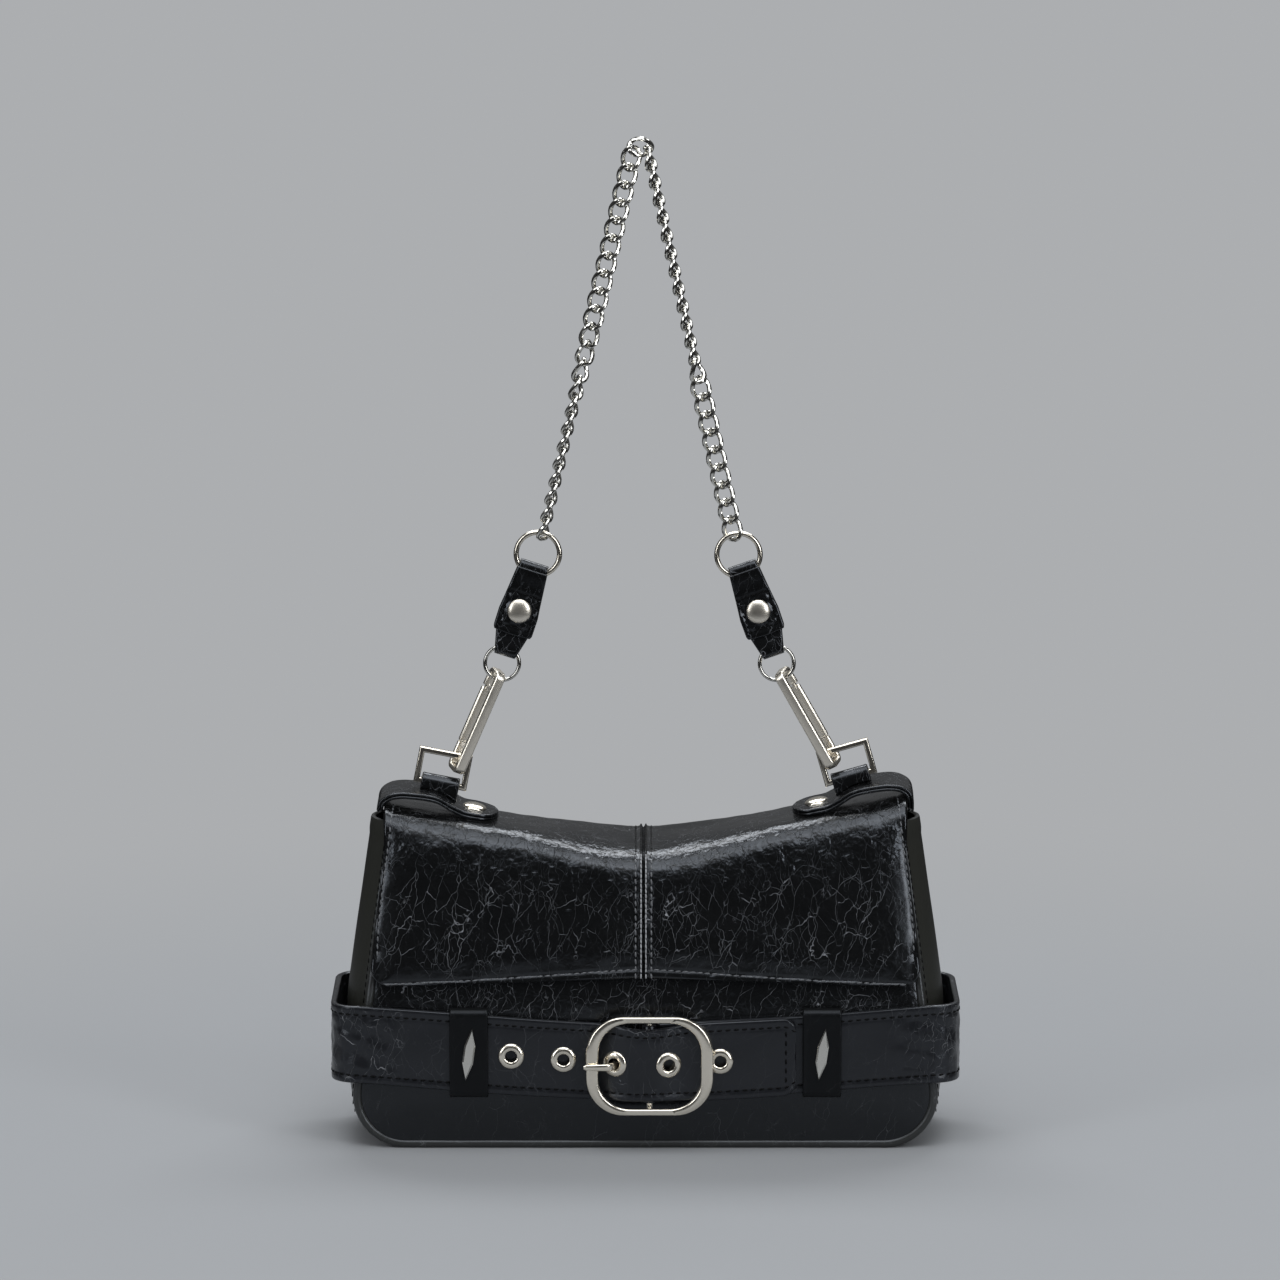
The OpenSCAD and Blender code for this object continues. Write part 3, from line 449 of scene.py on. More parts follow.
def lathe(profile: Sequence[Point], steps: int = 40) -> Part:
    """Turns a profile of radius and height about Z; a radius of 0 closes it."""
    angles = np.linspace(0, math.tau, steps, endpoint=False)
    verts = np.array([(r * math.cos(a), r * math.sin(a), z) for r, z in profile for a in angles])
    return verts, grid_faces(len(profile), steps, close_cols=True)


def joined(name: str, parts: Sequence[Part], material: Material, sharp: float = SHARP) -> Object:
    """Makes one object from several sets of points and faces.

    Args:
        name: name of the piece.
        parts: the sets.
        material: finish of the piece.
        sharp: angle past which an edge is shaded hard.

    Returns:
        The object, with its doubles merged.
    """
    verts, faces, first = [], [], 0
    for v, f in parts:
        verts.append(np.asarray(v, float))
        faces += [tuple(i + first for i in face) for face in f]
        first += len(v)
    obj = mesh_object(name, np.concatenate(verts), faces, material, sharp)
    weld(obj)
    obj.data.set_sharp_from_angle(angle=sharp)
    return obj


def keep_result(obj: Object) -> None:
    """Makes what an object's modifiers give its plain mesh, and takes the modifiers off."""
    bpy.context.view_layer.update()
    graph = bpy.context.evaluated_depsgraph_get()
    obj.data = bpy.data.meshes.new_from_object(obj.evaluated_get(graph), depsgraph=graph)
    obj.modifiers.clear()


def bevel(obj: Object, width: float) -> None:
    """Rounds a piece's hard edges and keeps the result as its mesh.

    Args:
        obj: the piece.
        width: width of the rounding.
    """
    modifier = obj.modifiers.new("Edges", "BEVEL")
    modifier.width = width * MM
    modifier.segments = 2
    modifier.limit_method = "ANGLE"
    modifier.angle_limit = math.radians(25)
    keep_result(obj)
    obj.data.shade_smooth()
    obj.data.set_sharp_from_angle(angle=math.radians(35))


# Finishes.


def new_group(name: str, inputs: Sequence[tuple[str, str, object]], outputs: Sequence[tuple[str, str]],
              kind: str = "ShaderNodeTree") -> NodeTree:
    """Empty group with named sockets.

    Args:
        name: name of the group.
        inputs: label, kind and default of each input.
        outputs: label and kind of each output.
        kind: shader tree or geometry tree.

    Returns:
        The group.
    """
    group = bpy.data.node_groups.new(name, kind)
    for label, socket_kind, default in inputs:
        socket = group.interface.new_socket(label, in_out="INPUT", socket_type=socket_kind)
        if default is not None:
            socket.default_value = default
    for label, socket_kind in outputs:
        group.interface.new_socket(label, in_out="OUTPUT", socket_type=socket_kind)
    return group


class Wiring:
    """Short ways to add and join nodes in one tree."""

    def __init__(self, tree: NodeTree) -> None:
        """Keeps the tree."""
        self.tree = tree

    def feed(self, node: Node, inputs: dict) -> None:
        """Links each input that is given a socket, and sets each that is given a value."""
        for key, value in inputs.items():
            if isinstance(value, NodeSocket):
                self.tree.links.new(value, node.inputs[key])
            else:
                node.inputs[key].default_value = value

    def add(self, kind: str, inputs: dict | None = None, **settings: object) -> Node:
        """Adds a node.

        Args:
            kind: the node's type.
            inputs: a socket or a value for inputs, by name or number.
            settings: the node's properties.

        Returns:
            The node.
        """
        node = self.tree.nodes.new(kind)
        for key, value in settings.items():
            setattr(node, key, value)
        self.feed(node, inputs or {})
        return node

    def math(self, operation: str, *values: object, clamp: bool = False) -> NodeSocket:
        """A Math node; sockets are linked and numbers are set."""
        inputs = dict(enumerate(values))
        return self.add("ShaderNodeMath", inputs, operation=operation, use_clamp=clamp).outputs[0]

    def ramp(self, value: NodeSocket, low: float, high: float, to_low: float = 0.0,
             to_high: float = 1.0) -> NodeSocket:
        """Smooth map of a value between two limits."""
        limits = {"Value": value, "From Min": low, "From Max": high, "To Min": to_low, "To Max": to_high}
        return self.add("ShaderNodeMapRange", limits, interpolation_type="SMOOTHSTEP").outputs["Result"]

    def noise(self, vector: NodeSocket, scale: float, detail: float, rough: float) -> Node:
        """A Noise Texture on a vector."""
        sizes = {"Vector": vector, "Scale": scale, "Detail": detail, "Roughness": rough}
        return self.add("ShaderNodeTexNoise", sizes)

    def mix(self, factor: NodeSocket, first: Colour, second: Colour) -> NodeSocket:
        """Mix of two colours."""
        inputs = {0: factor, 6: (*first, 1.0), 7: (*second, 1.0)}
        return self.add("ShaderNodeMix", inputs, data_type="RGBA").outputs[2]

    def relief(self, height: NodeSocket, distance: float) -> NodeSocket:
        """Normal of a surface with a fine relief; the distance is in metres."""
        return self.add("ShaderNodeBump", {"Height": height, "Distance": distance}).outputs[0]


@dataclass(frozen=True)
class Crease:
    """One layer of crease lines.

    Attributes:
        scale: cells per metre.
        stretch: height of a cell against its width.
        tilt: lean of the cells, in radians.
        width: width of a line, as a share of a cell.
        shift: offset that picks the pattern.
        fade: patches per metre.
        share: how much of the leather stays bare.
        weight: strength of the lines.
    """

    scale: float
    stretch: float
    tilt: float
    width: float
    shift: float
    fade: float
    share: float
    weight: float


CREASES = (
    Crease(135.0, 3.6, 0.34, 0.010, 0.0, 32.0, 0.36, 1.0),
    Crease(195.0, 3.0, -0.46, 0.012, 3.7, 44.0, 0.40, 0.9),
    Crease(330.0, 2.2, 0.10, 0.019, 9.1, 62.0, 0.44, 0.55),
)
# How far a noise pushes the creases about, in metres.
WARP = 0.0075


def crease_group() -> NodeTree:
    """Branching crease lines and fine grain of crackled leather.

    Returns:
        A group with outputs Lines, Grain and Height.
    """
    group = new_group("Crackle", [("Vector", "NodeSocketVector", None), ("Amount", FLOAT_SOCKET, 1.0)],
                      [("Lines", FLOAT_SOCKET), ("Grain", FLOAT_SOCKET), ("Height", FLOAT_SOCKET)])
    w = Wiring(group)
    source = w.add("NodeGroupInput")
    vector, amount = source.outputs["Vector"], source.outputs["Amount"]
    warp = w.noise(vector, 80.0, 3.0, 0.5).outputs["Color"]
    shift = w.add("ShaderNodeVectorMath", {0: warp, 1: (WARP, WARP, WARP), 2: vector},
                  operation="MULTIPLY_ADD").outputs[0]
    lines = None
    for crease in CREASES:
        place = w.add("ShaderNodeMapping", {
            "Location": (crease.shift, crease.shift * 0.7, 0.0), "Rotation": (0.0, crease.tilt, 0.0),
            "Scale": (1.0, 1.0, crease.stretch), "Vector": shift}, vector_type="TEXTURE").outputs[0]
        cells = w.add("ShaderNodeTexVoronoi", {"Scale": crease.scale, "Vector": place},
                      feature="DISTANCE_TO_EDGE")
        line = w.ramp(cells.outputs["Distance"], 0.0, crease.width, 1.0, 0.0)
        cloud = w.noise(place, crease.fade, 3.0, 0.6).outputs["Fac"]
        where = w.ramp(cloud, crease.share, crease.share + 0.16)
        gaps = w.noise(place, crease.scale * 0.8, 2.0, 0.5).outputs["Fac"]
        broken = w.ramp(gaps, 0.42, 0.58, 0.04, 1.0)
        layer = w.math("MULTIPLY", line, w.math("MULTIPLY", where, broken))
        layer = w.math("MULTIPLY", layer, crease.weight)
        lines = w.math("MAXIMUM", lines, layer) if lines else layer
    lines = w.math("MULTIPLY", lines, amount, clamp=True)
    grain = w.noise(vector, 900.0, 3.0, 0.6).outputs["Fac"]
    pebble = w.noise(shift, 190.0, 2.0, 0.55).outputs["Fac"]
    soft = w.math("MULTIPLY", pebble, w.math("MULTIPLY_ADD", amount, 0.44, 0.05))
    height = w.math("SUBTRACT", w.math("MULTIPLY_ADD", grain, 0.007, soft), w.math("MULTIPLY", lines, 0.30))
    w.add("NodeGroupOutput", {"Lines": lines, "Grain": grain, "Height": height})
    return group


def wear_group() -> NodeTree:
    """Faint smudges and scratches for metal.

    Returns:
        A group with outputs Roughness and Height.
    """
    group = new_group(
        "MetalWear",
        [("Vector", "NodeSocketVector", None), ("Base", FLOAT_SOCKET, 0.15), ("Spread", FLOAT_SOCKET, 0.1)],
        [("Roughness", FLOAT_SOCKET), ("Height", FLOAT_SOCKET)])
    w = Wiring(group)
    source = w.add("NodeGroupInput").outputs
    cloud = w.noise(source["Vector"], 140.0, 5.0, 0.65).outputs["Fac"]
    rough = w.math("MULTIPLY_ADD", w.math("SUBTRACT", cloud, 0.5), source["Spread"], source["Base"])
    w.add("NodeGroupOutput", {"Roughness": rough, "Height": cloud})
    return group


def new_material(name: str, colour: Colour) -> tuple[Material, Wiring, Node, NodeSocket]:
    """Starts a material.

    Args:
        name: its name.
        colour: its plain colour.

    Returns:
        The material, its wiring, its shader and the piece's own coordinates.
    """
    mat = bpy.data.materials.new(name)
    mat.use_nodes = True
    mat.diffuse_color = (*colour, 1)
    w = Wiring(mat.node_tree)
    return mat, w, mat.node_tree.nodes["Principled BSDF"], w.add("ShaderNodeTexCoord").outputs["Object"]


@dataclass(frozen=True)
class Leather:
    """Black leather with a shine and a share of crackle; its crease lines carry a pale painted highlight."""

    name: str
    colour: Colour = (0.0022, 0.0022, 0.0021)
    # Pale colour of the crease lines: a painted highlight standing in for crease flanks that catch the light.
    line_colour: Colour = (0.22, 0.225, 0.24)
    rough: float = 0.25
    level: float = 0.46
    coat: float = 0.27
    coat_rough: float = 0.20
    relief: float = 0.0011
    tint: Colour = (0.82, 0.89, 1.0)
    line_rough: float = 0.42
    grain_rough: float = 0.12
    # Share of the pale crease colour kept where the crease lines are painted as shade.
    dark_share: float = 0.05

    def material(self, shared: dict[str, NodeTree]) -> Material:
        """Builds the material.

        Args:
            shared: shader groups by name.

        Returns:
            The material.
        """
        mat, w, shader, place = new_material(self.name, self.colour)
        mask = w.add("ShaderNodeAttribute", attribute_name="crackle").outputs["Fac"]
        crackle = w.add("ShaderNodeGroup", {"Vector": place, "Amount": mask},
                        node_tree=shared["Crackle"]).outputs
        lines = crackle["Lines"]
        shade_mask = w.add("ShaderNodeAttribute", attribute_name="dark_lines").outputs["Fac"]
        # Share of the pale painted highlight colour: the crease lines, cut back to painted shade where the
        # shade mask is set.
        pale = w.math("MULTIPLY", lines, w.ramp(shade_mask, 0.0, 1.0, 1.0, self.dark_share))
        rough = w.math("MULTIPLY_ADD", lines, self.line_rough, self.rough)
        rough = w.math("MULTIPLY_ADD", w.math("SUBTRACT", crackle["Grain"], 0.5), self.grain_rough, rough)
        w.feed(shader, {
            "Base Color": w.mix(pale, self.colour, self.line_colour),
            "Coat Weight": w.ramp(lines, 0.0, 1.0, self.coat, 0.0),
            "Roughness": rough,
            "Normal": w.relief(crackle["Height"], self.relief),
            "Specular IOR Level": self.level,
            "Coat Roughness": self.coat_rough,
            "Specular Tint": (*self.tint, 1)})
        return mat


@dataclass(frozen=True)
class Metal:
    """Plated metal."""

    name: str
    colour: Colour
    rough: float
    spread: float = 0.10
    relief: float = 0.00002

    def material(self, shared: dict[str, NodeTree]) -> Material:
        """Builds the material.

        Args:
            shared: shader groups by name.

        Returns:
            The material.
        """
        mat, w, shader, place = new_material(self.name, self.colour)
        wear = w.add("ShaderNodeGroup", node_tree=shared["MetalWear"])
        w.feed(wear, {"Base": self.rough, "Spread": self.spread, "Vector": place})
        w.feed(shader, {
            "Base Color": (*self.colour, 1),
            "Metallic": 1.0,
            "Roughness": wear.outputs["Roughness"],
            "Normal": w.relief(wear.outputs["Height"], self.relief)})
        return mat


@dataclass(frozen=True)
class Cloth:
    """Woven lining, thread or board."""

    name: str
    colour: Colour
    rough: float = 0.8
    pitch: float = 1500.0
    level: float = 0.5
    relief: float = 0.0001
    shade: float = 0.6

    def material(self, shared: dict[str, NodeTree]) -> Material:
        """Builds the material with a fine weave.

        Args:
            shared: shader groups by name, of which cloth uses none.

        Returns:
            The material.
        """
        mat, w, shader, place = new_material(self.name, self.colour)
        weave = w.noise(place, self.pitch, 2.0, 0.5).outputs["Fac"]
        dark = tuple(c * self.shade for c in self.colour)
        w.feed(shader, {
            "Base Color": w.mix(weave, dark, self.colour),
            "Normal": w.relief(weave, self.relief),
            "Roughness": self.rough,
            "Specular IOR Level": self.level})
        return mat


class Finish(Enum):
    """The finishes of the bag's pieces."""

    PATENT = Leather("CrackledPatent")
    # The belt's pale crease colour paints the glints of its crinkled, bent ends.
    BELT = Leather("BeltLeather", colour=(0.0040, 0.0040, 0.0050), line_colour=(0.20, 0.204, 0.215),
                   rough=0.34, coat=0.30, relief=0.0010)
    SMOOTH = Leather("GussetLeather", colour=(0.018, 0.018, 0.014), line_colour=(0.05, 0.05, 0.045),
                     rough=0.42, coat=0.15, coat_rough=0.3, relief=0.0004)
    PIPING = Leather("PipingLeather", colour=(0.018, 0.018, 0.016), rough=0.38, coat=0.25,
                     coat_rough=0.22, relief=0.0004)
    KEEPER = Leather("KeeperLeather", colour=(0.0018, 0.0018, 0.0017), line_colour=(0.05, 0.05, 0.05),
                     rough=0.40, level=0.22, coat=0.05, relief=0.0006)
    NICKEL = Metal("PaleNickel", (0.88, 0.82, 0.71), 0.22)
    SATIN = Metal("SatinNickel", (0.84, 0.785, 0.69), 0.34, 0.16)
    STEEL = Metal("BrightSteel", (0.70, 0.685, 0.64), 0.17)
    LINING = Cloth("LiningCloth", (0.10, 0.095, 0.09))
    THREAD = Cloth("BlackThread", (0.0012, 0.0012, 0.0015), 0.4, 2500.0, 0.12)
    # Black thread painted mid grey as a painted sheen, for stitches that catch the light on the flap.
    SHEEN_THREAD = Cloth("WaxedThread", (0.10, 0.104, 0.112), 0.30, 2500.0)
    # Pale beads along the middle seam's ridge lines: a painted highlight where they catch the light.
    RIDGE = Cloth("PolishedRidge", (0.34, 0.345, 0.36), 0.25, 2500.0)
    BOARD = Cloth("BaseBoard", (0.06, 0.058, 0.055))


class Paints:
    """Every finish, built once."""

    def __init__(self) -> None:
        """Builds the shared groups and the materials."""
        shared = {"Crackle": crease_group(), "MetalWear": wear_group()}
        self.made = {finish: finish.value.material(shared) for finish in Finish}

    def __getitem__(self, finish: Finish) -> Material:
        """The material of a finish."""
        return self.made[finish]


# Repeated pieces, by geometry nodes.


def node_tree(name: str, inputs: Sequence[tuple[str, str, object]]) -> tuple[NodeTree, Wiring, NodeOutputs]:
    """Geometry tree with a mesh input, named inputs, a finish and a mesh output.

    Args:
        name: name of the tree.
        inputs: label, kind and default of each named input.

    Returns:
        The tree, its wiring and the sockets of its inputs.
    """
    mesh = ("Geometry", "NodeSocketGeometry")
    tree = new_group(name, [(*mesh, None), *inputs, ("Finish", "NodeSocketMaterial", None)], [mesh],
                     "GeometryNodeTree")
    w = Wiring(tree)
    return tree, w, w.add("NodeGroupInput").outputs


def close_tree(w: Wiring, source: NodeOutputs, instances: NodeSocket) -> None:
    """Ends a tree: makes the instances real and gives them the finish."""
    real = w.add("GeometryNodeRealizeInstances", {"Geometry": instances}).outputs["Geometry"]
    paint = w.add("GeometryNodeSetMaterial", {"Geometry": real, "Material": source["Finish"]})
    w.add("NodeGroupOutput", {"Geometry": paint.outputs["Geometry"]})


def stored(w: Wiring, name: str) -> NodeSocket:
    """A vector that is stored on each point under a name."""
    node = w.add("GeometryNodeInputNamedAttribute", {"Name": name}, data_type="FLOAT_VECTOR")
    return node.outputs["Attribute"]


def copies_tree() -> NodeTree:
    """Puts a copy of a piece on each point, turned by the point's own turn."""
    tree, w, source = node_tree("Copies", [("Piece", "NodeSocketObject", None)])
    piece = w.add("GeometryNodeObjectInfo", {"Object": source["Piece"]}, transform_space="ORIGINAL")
    place = w.add("GeometryNodeInstanceOnPoints", {
        "Points": source["Geometry"], "Instance": piece.outputs["Geometry"], "Rotation": stored(w, "turn")})
    close_tree(w, source, place.outputs["Instances"])
    return tree


# Greatest turn of a stitch out of line, in radians.
JITTER = 0.06


def stitch_tree() -> NodeTree:
    """Runs a row of stitches along the edges of a mesh, each turned to the surface under it."""
    tree, w, source = node_tree("Stitches", [
        ("Pitch", FLOAT_SOCKET, 0.0036), ("Length", FLOAT_SOCKET, 0.0026), ("Thread", FLOAT_SOCKET, 0.00035),
        ("Slant", FLOAT_SOCKET, 0.12), ("Seed", "NodeSocketInt", 3)])
    curve = w.add("GeometryNodeMeshToCurve", {"Mesh": source["Geometry"]})
    points = w.add("GeometryNodeResampleCurve", mode="LENGTH")
    w.feed(points, {"Curve": curve.outputs["Curve"], "Length": source["Pitch"]})
    along = w.add("GeometryNodeInputTangent").outputs["Tangent"]
    store = w.add("GeometryNodeStoreNamedAttribute", {
        "Name": "along", "Geometry": points.outputs["Curve"], "Value": along}, data_type="FLOAT_VECTOR",
        domain="POINT")
    ball = w.add("GeometryNodeMeshUVSphere", {"Segments": 8, "Rings": 6, "Radius": 1.0})
    up = w.add("FunctionNodeAlignRotationToVector", {"Vector": stored(w, "facing")}, axis="Z")
    level = w.add("FunctionNodeAlignRotationToVector", {
        "Rotation": up.outputs["Rotation"], "Vector": stored(w, "along")}, axis="X", pivot_axis="Z")
    limits = {2: -JITTER, 3: JITTER, "Seed": source["Seed"]}
    jitter = w.add("FunctionNodeRandomValue", limits, data_type="FLOAT")
    angle = w.math("ADD", jitter.outputs[1], source["Slant"])
    spin = w.add("ShaderNodeCombineXYZ", {"Z": angle}).outputs[0]
    slant = w.add("FunctionNodeEulerToRotation", {0: spin}).outputs[0]
    turned = w.add("FunctionNodeRotateRotation", {"Rotation": level.outputs["Rotation"], "Rotate By": slant},
                   rotation_space="LOCAL")
    size = w.add("ShaderNodeCombineXYZ", {
        "X": w.math("MULTIPLY", source["Length"], 0.5), "Y": source["Thread"],
        "Z": w.math("MULTIPLY", source["Thread"], 0.8)})
    place = w.add("GeometryNodeInstanceOnPoints", {
        "Points": store.outputs["Geometry"], "Instance": ball.outputs["Mesh"],
        "Rotation": turned.outputs["Rotation"], "Scale": size.outputs[0]})
    close_tree(w, source, place.outputs["Instances"])
    return tree


def run_tree(obj: Object, tree: NodeTree, values: dict[str, object]) -> Object:
    """Runs a geometry tree on an object and keeps its result as a plain mesh.

    Args:
        obj: carrier of the points or edges.
        tree: the tree.
        values: the tree's inputs by name.

    Returns:
        The same object with the finished mesh.
    """
    modifier = obj.modifiers.new("Make", "NODES")
    modifier.node_group = tree
    for item in tree.interface.items_tree:
        if item.item_type == "SOCKET" and item.in_out == "INPUT" and item.name in values:
            modifier[item.identifier] = values[item.name]
    keep_result(obj)
    obj.data.shade_smooth()
    obj.data.set_sharp_from_angle(angle=SHARP)
    return obj


class Repeats:
    """Places copies and stitches."""

    def __init__(self, paints: Paints) -> None:
        """Builds the two trees."""
        self.paints = paints
        self.copies = copies_tree()
        self.stitches = stitch_tree()

    def copy_piece(self, name: str, part: Part, spots: Sequence[Matrix], finish: Finish) -> Object:
        """Copies one shape to several places.

        Args:
            name: name of the result.
            part: points and faces of the shape in millimetres.
            spots: place and turn of each copy, in millimetres.
            finish: the metal or leather.

        Returns:
            One object with every copy.
        """
        model = joined(name + "_one", [part], self.paints[finish])
        mesh = bpy.data.meshes.new(name)
        mesh.from_pydata([tuple(np.array(m.translation) * MM) for m in spots], [], [])
        turns = mesh.attributes.new("turn", "FLOAT_VECTOR", "POINT")
        angles = np.array([tuple(m.to_euler("XYZ")) for m in spots], np.float32)
        turns.data.foreach_set("vector", angles.ravel())
        obj = run_tree(linked(name, mesh), self.copies, {"Piece": model, "Finish": self.paints[finish]})
        bpy.data.objects.remove(model, do_unlink=True)
        return obj

    def stitch(self, name: str, rows: Rows, finish: Finish, pitch: float, length: float,
               thread: float = 0.36, slant: float = 0.1, seed: int = 3) -> Object:
        """Sews rows of stitches.

        Args:
            name: name of the seam.
            rows: for each row, its points and the surface's facing at each.
            finish: thread.
            pitch: distance between stitches.
            length: length of a stitch.
            thread: half thickness of the thread.
            slant: turn of a stitch out of its row.
            seed: seed of the unevenness.

        Returns:
            The seam's object.
        """
        verts, facings, edges = [], [], []
        for line, facing in rows:
            first = len(verts)
            verts += [tuple(p) for p in np.asarray(line, float) * MM]
            facings += [tuple(f) for f in np.asarray(facing, float)]
            edges += [(first + i, first + i + 1) for i in range(len(line) - 1)]
        mesh = bpy.data.meshes.new(name)
        mesh.from_pydata(verts, edges, [])
        out = mesh.attributes.new("facing", "FLOAT_VECTOR", "POINT")
        out.data.foreach_set("vector", np.array(facings, np.float32).ravel())
        sizes = {"Pitch": pitch * MM, "Length": length * MM, "Thread": thread * MM, "Slant": slant,
                 "Seed": seed, "Finish": self.paints[finish]}
        return run_tree(linked(name, mesh), self.stitches, sizes)


# The bag's own measures.


@dataclass
class Body:
    """Sizes of the bag's body, which the shell, piping and belt share."""

    base_w: float = 266
    top_w: float = 230
    base_d: float = 68
    top_d: float = 36
    waist_h: float = 69
    fold_h: float = 158
    sag: float = 20
    skew: float = 4
    mouth_h: float = 114
    corner_r: float = 23
    pipe_d: float = 4
    pipe_out: float = 1.6
    pipe_proud: float = 0.8
    gusset_h: float = 150
    gusset_bulge: float = 9
    flap_top_w: float = 240
    flap_hem_w: float = 254
    hem_h: float = 77
    hem_rise: float = 3.6
    hem_r: float = 9
    fold_r: float = 8
    back_r: float = 5
    yoke_rise: float = 2.6
    flap_out: float = 6.0545
    fold_soft: float = 0.12

    def __post_init__(self) -> None:
        """Works out the lower corner's centre and the sides' slope."""
        self.corner_x = self.base_w / 2 - self.corner_r
        self.corner_z = self.corner_r + self.pipe_out
        self.side_a = math.atan2((self.base_w - self.top_w) / 2, self.fold_h - self.corner_r)

    def half_d(self, z: Array) -> Array:
        """Half of the body's depth at a height."""
        z = np.asarray(z, float)
        lean = (self.top_d - self.base_d) / 2 * (z - self.waist_h) / (self.fold_h - self.waist_h)
        return self.base_d / 2 + np.where(z <= self.waist_h, 0, lean)

    def soft_half_d(self, z: Array) -> Array:
        """Half depth with its bend at the waist eased."""
        return (self.half_d(np.asarray(z) - 7) + self.half_d(z) + self.half_d(np.asarray(z) + 7)) / 3

    def side_x(self, z: Array, grow: float) -> Array:
        """Half width of the outline.

        Args:
            z: heights.
            grow: how far the outline is set out.

        Returns:
            One half width for each height.
        """
        z = np.asarray(z, float)
        r = self.corner_r + grow
        straight = self.corner_x + r / math.cos(self.side_a) - (z - self.corner_z) * math.tan(self.side_a)
        down = np.clip(self.corner_z - z, -r, r)
        corner = self.corner_x + np.sqrt(np.clip(r * r - down * down, 0, None))
        return np.where(z < self.corner_z + r * math.sin(self.side_a), corner, straight)

    def fold_z(self, x: Array) -> Array:
        """Height of the top fold, a soft V with the right shoulder higher.

        Args:
            x: places across.

        Returns:
            One height for each place.
        """
        x = np.asarray(x, float)
        share = np.clip(np.abs(x) / (self.flap_top_w / 2), 0, 1)
        soft = self.fold_soft
        share = (np.sqrt(share * share + soft * soft) - soft) / (math.sqrt(1 + soft * soft) - soft)
        low = self.fold_h - self.sag
        return low + (self.fold_h + np.sign(x) * self.skew / 2 - low) * share

    def outline(self, grow: float, z_top: float, step: float = 2.0) -> Array:
        """Half outline of the body seen from the front.

        Args:
            grow: how far it is set out.
            z_top: height of its upper end.
            step: distance between its points.

        Returns:
            X and Z of its points, from the middle of the base up.
        """
        r = self.corner_r + grow
        corner = arc2(self.corner_x, self.corner_z, r, -90, math.degrees(self.side_a), 23)
        points = [(0, self.corner_z - r), *corner, (float(self.side_x(z_top, grow)), z_top)]
        return resample(np.array(points), step)


@dataclass
class Kit:
    """What every maker of pieces is handed."""

    paints: Paints
    repeats: Repeats
    body: Body

    def ride(self, obj: Object, body: str, *nodes: str) -> None:
        """Ties a finished piece to a body.

        Args:
            obj: the piece.
            body: the body that it moves with.
            nodes: the CAD nodes that it stands for.
        """
        if nodes:
            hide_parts(*nodes)
        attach(obj, body)
        LOG.info("%s rides on %s, %d faces", obj.name, body, len(obj.data.polygons))

    def paint(self, finish: Finish, *nodes: str) -> None:
        """Gives CAD nodes that stay a better finish.

        Args:
            finish: the finish.
            nodes: the nodes.
        """
        for node in nodes:
            materials = FRAME["nodes"][node].data.materials
            materials.clear()
            materials.append(self.paints[finish])


@dataclass
class Face:
    """A face of soft leather, to lay stitches on."""

    points: Array
    normals: Array
    run: Array
    reach: int = 40

    def column(self, i: int, s: float, what: Array) -> Array:
        """A point or facing of one column at a distance along it."""
        return np.array([np.interp(s, self.run[i], what[i, :, k]) for k in range(3)])

    def at(self, x: Array, s: Array) -> tuple[Array, Array]:
        """Points and facings of the leather.

        Args:
            x: places across.
            s: distances along.

        Returns:
            One point and one facing for each place.
        """
        places, facings = [], []
        last = len(self.points) - 1
        for px, ps in zip(x, s):
            first_x, last_x = (self.column(i, ps, self.points)[0] for i in (0, last))
            middle = int(np.clip((px - first_x) / (last_x - first_x), 0, 1) * last)
            columns = range(max(0, middle - self.reach), min(last, middle + self.reach) + 1)
            xs = [self.column(i, ps, self.points)[0] for i in columns]
            pick = int(np.clip(np.searchsorted(xs, px), 1, len(columns) - 1))
            i0, i1 = columns[pick - 1], columns[pick]
            t = (px - xs[pick - 1]) / max(1e-6, xs[pick] - xs[pick - 1])
            for what, found in ((self.points, places), (self.normals, facings)):
                found.append(self.column(i0, ps, what) * (1 - t) + self.column(i1, ps, what) * t)
        return np.array(places), unit(np.array(facings))


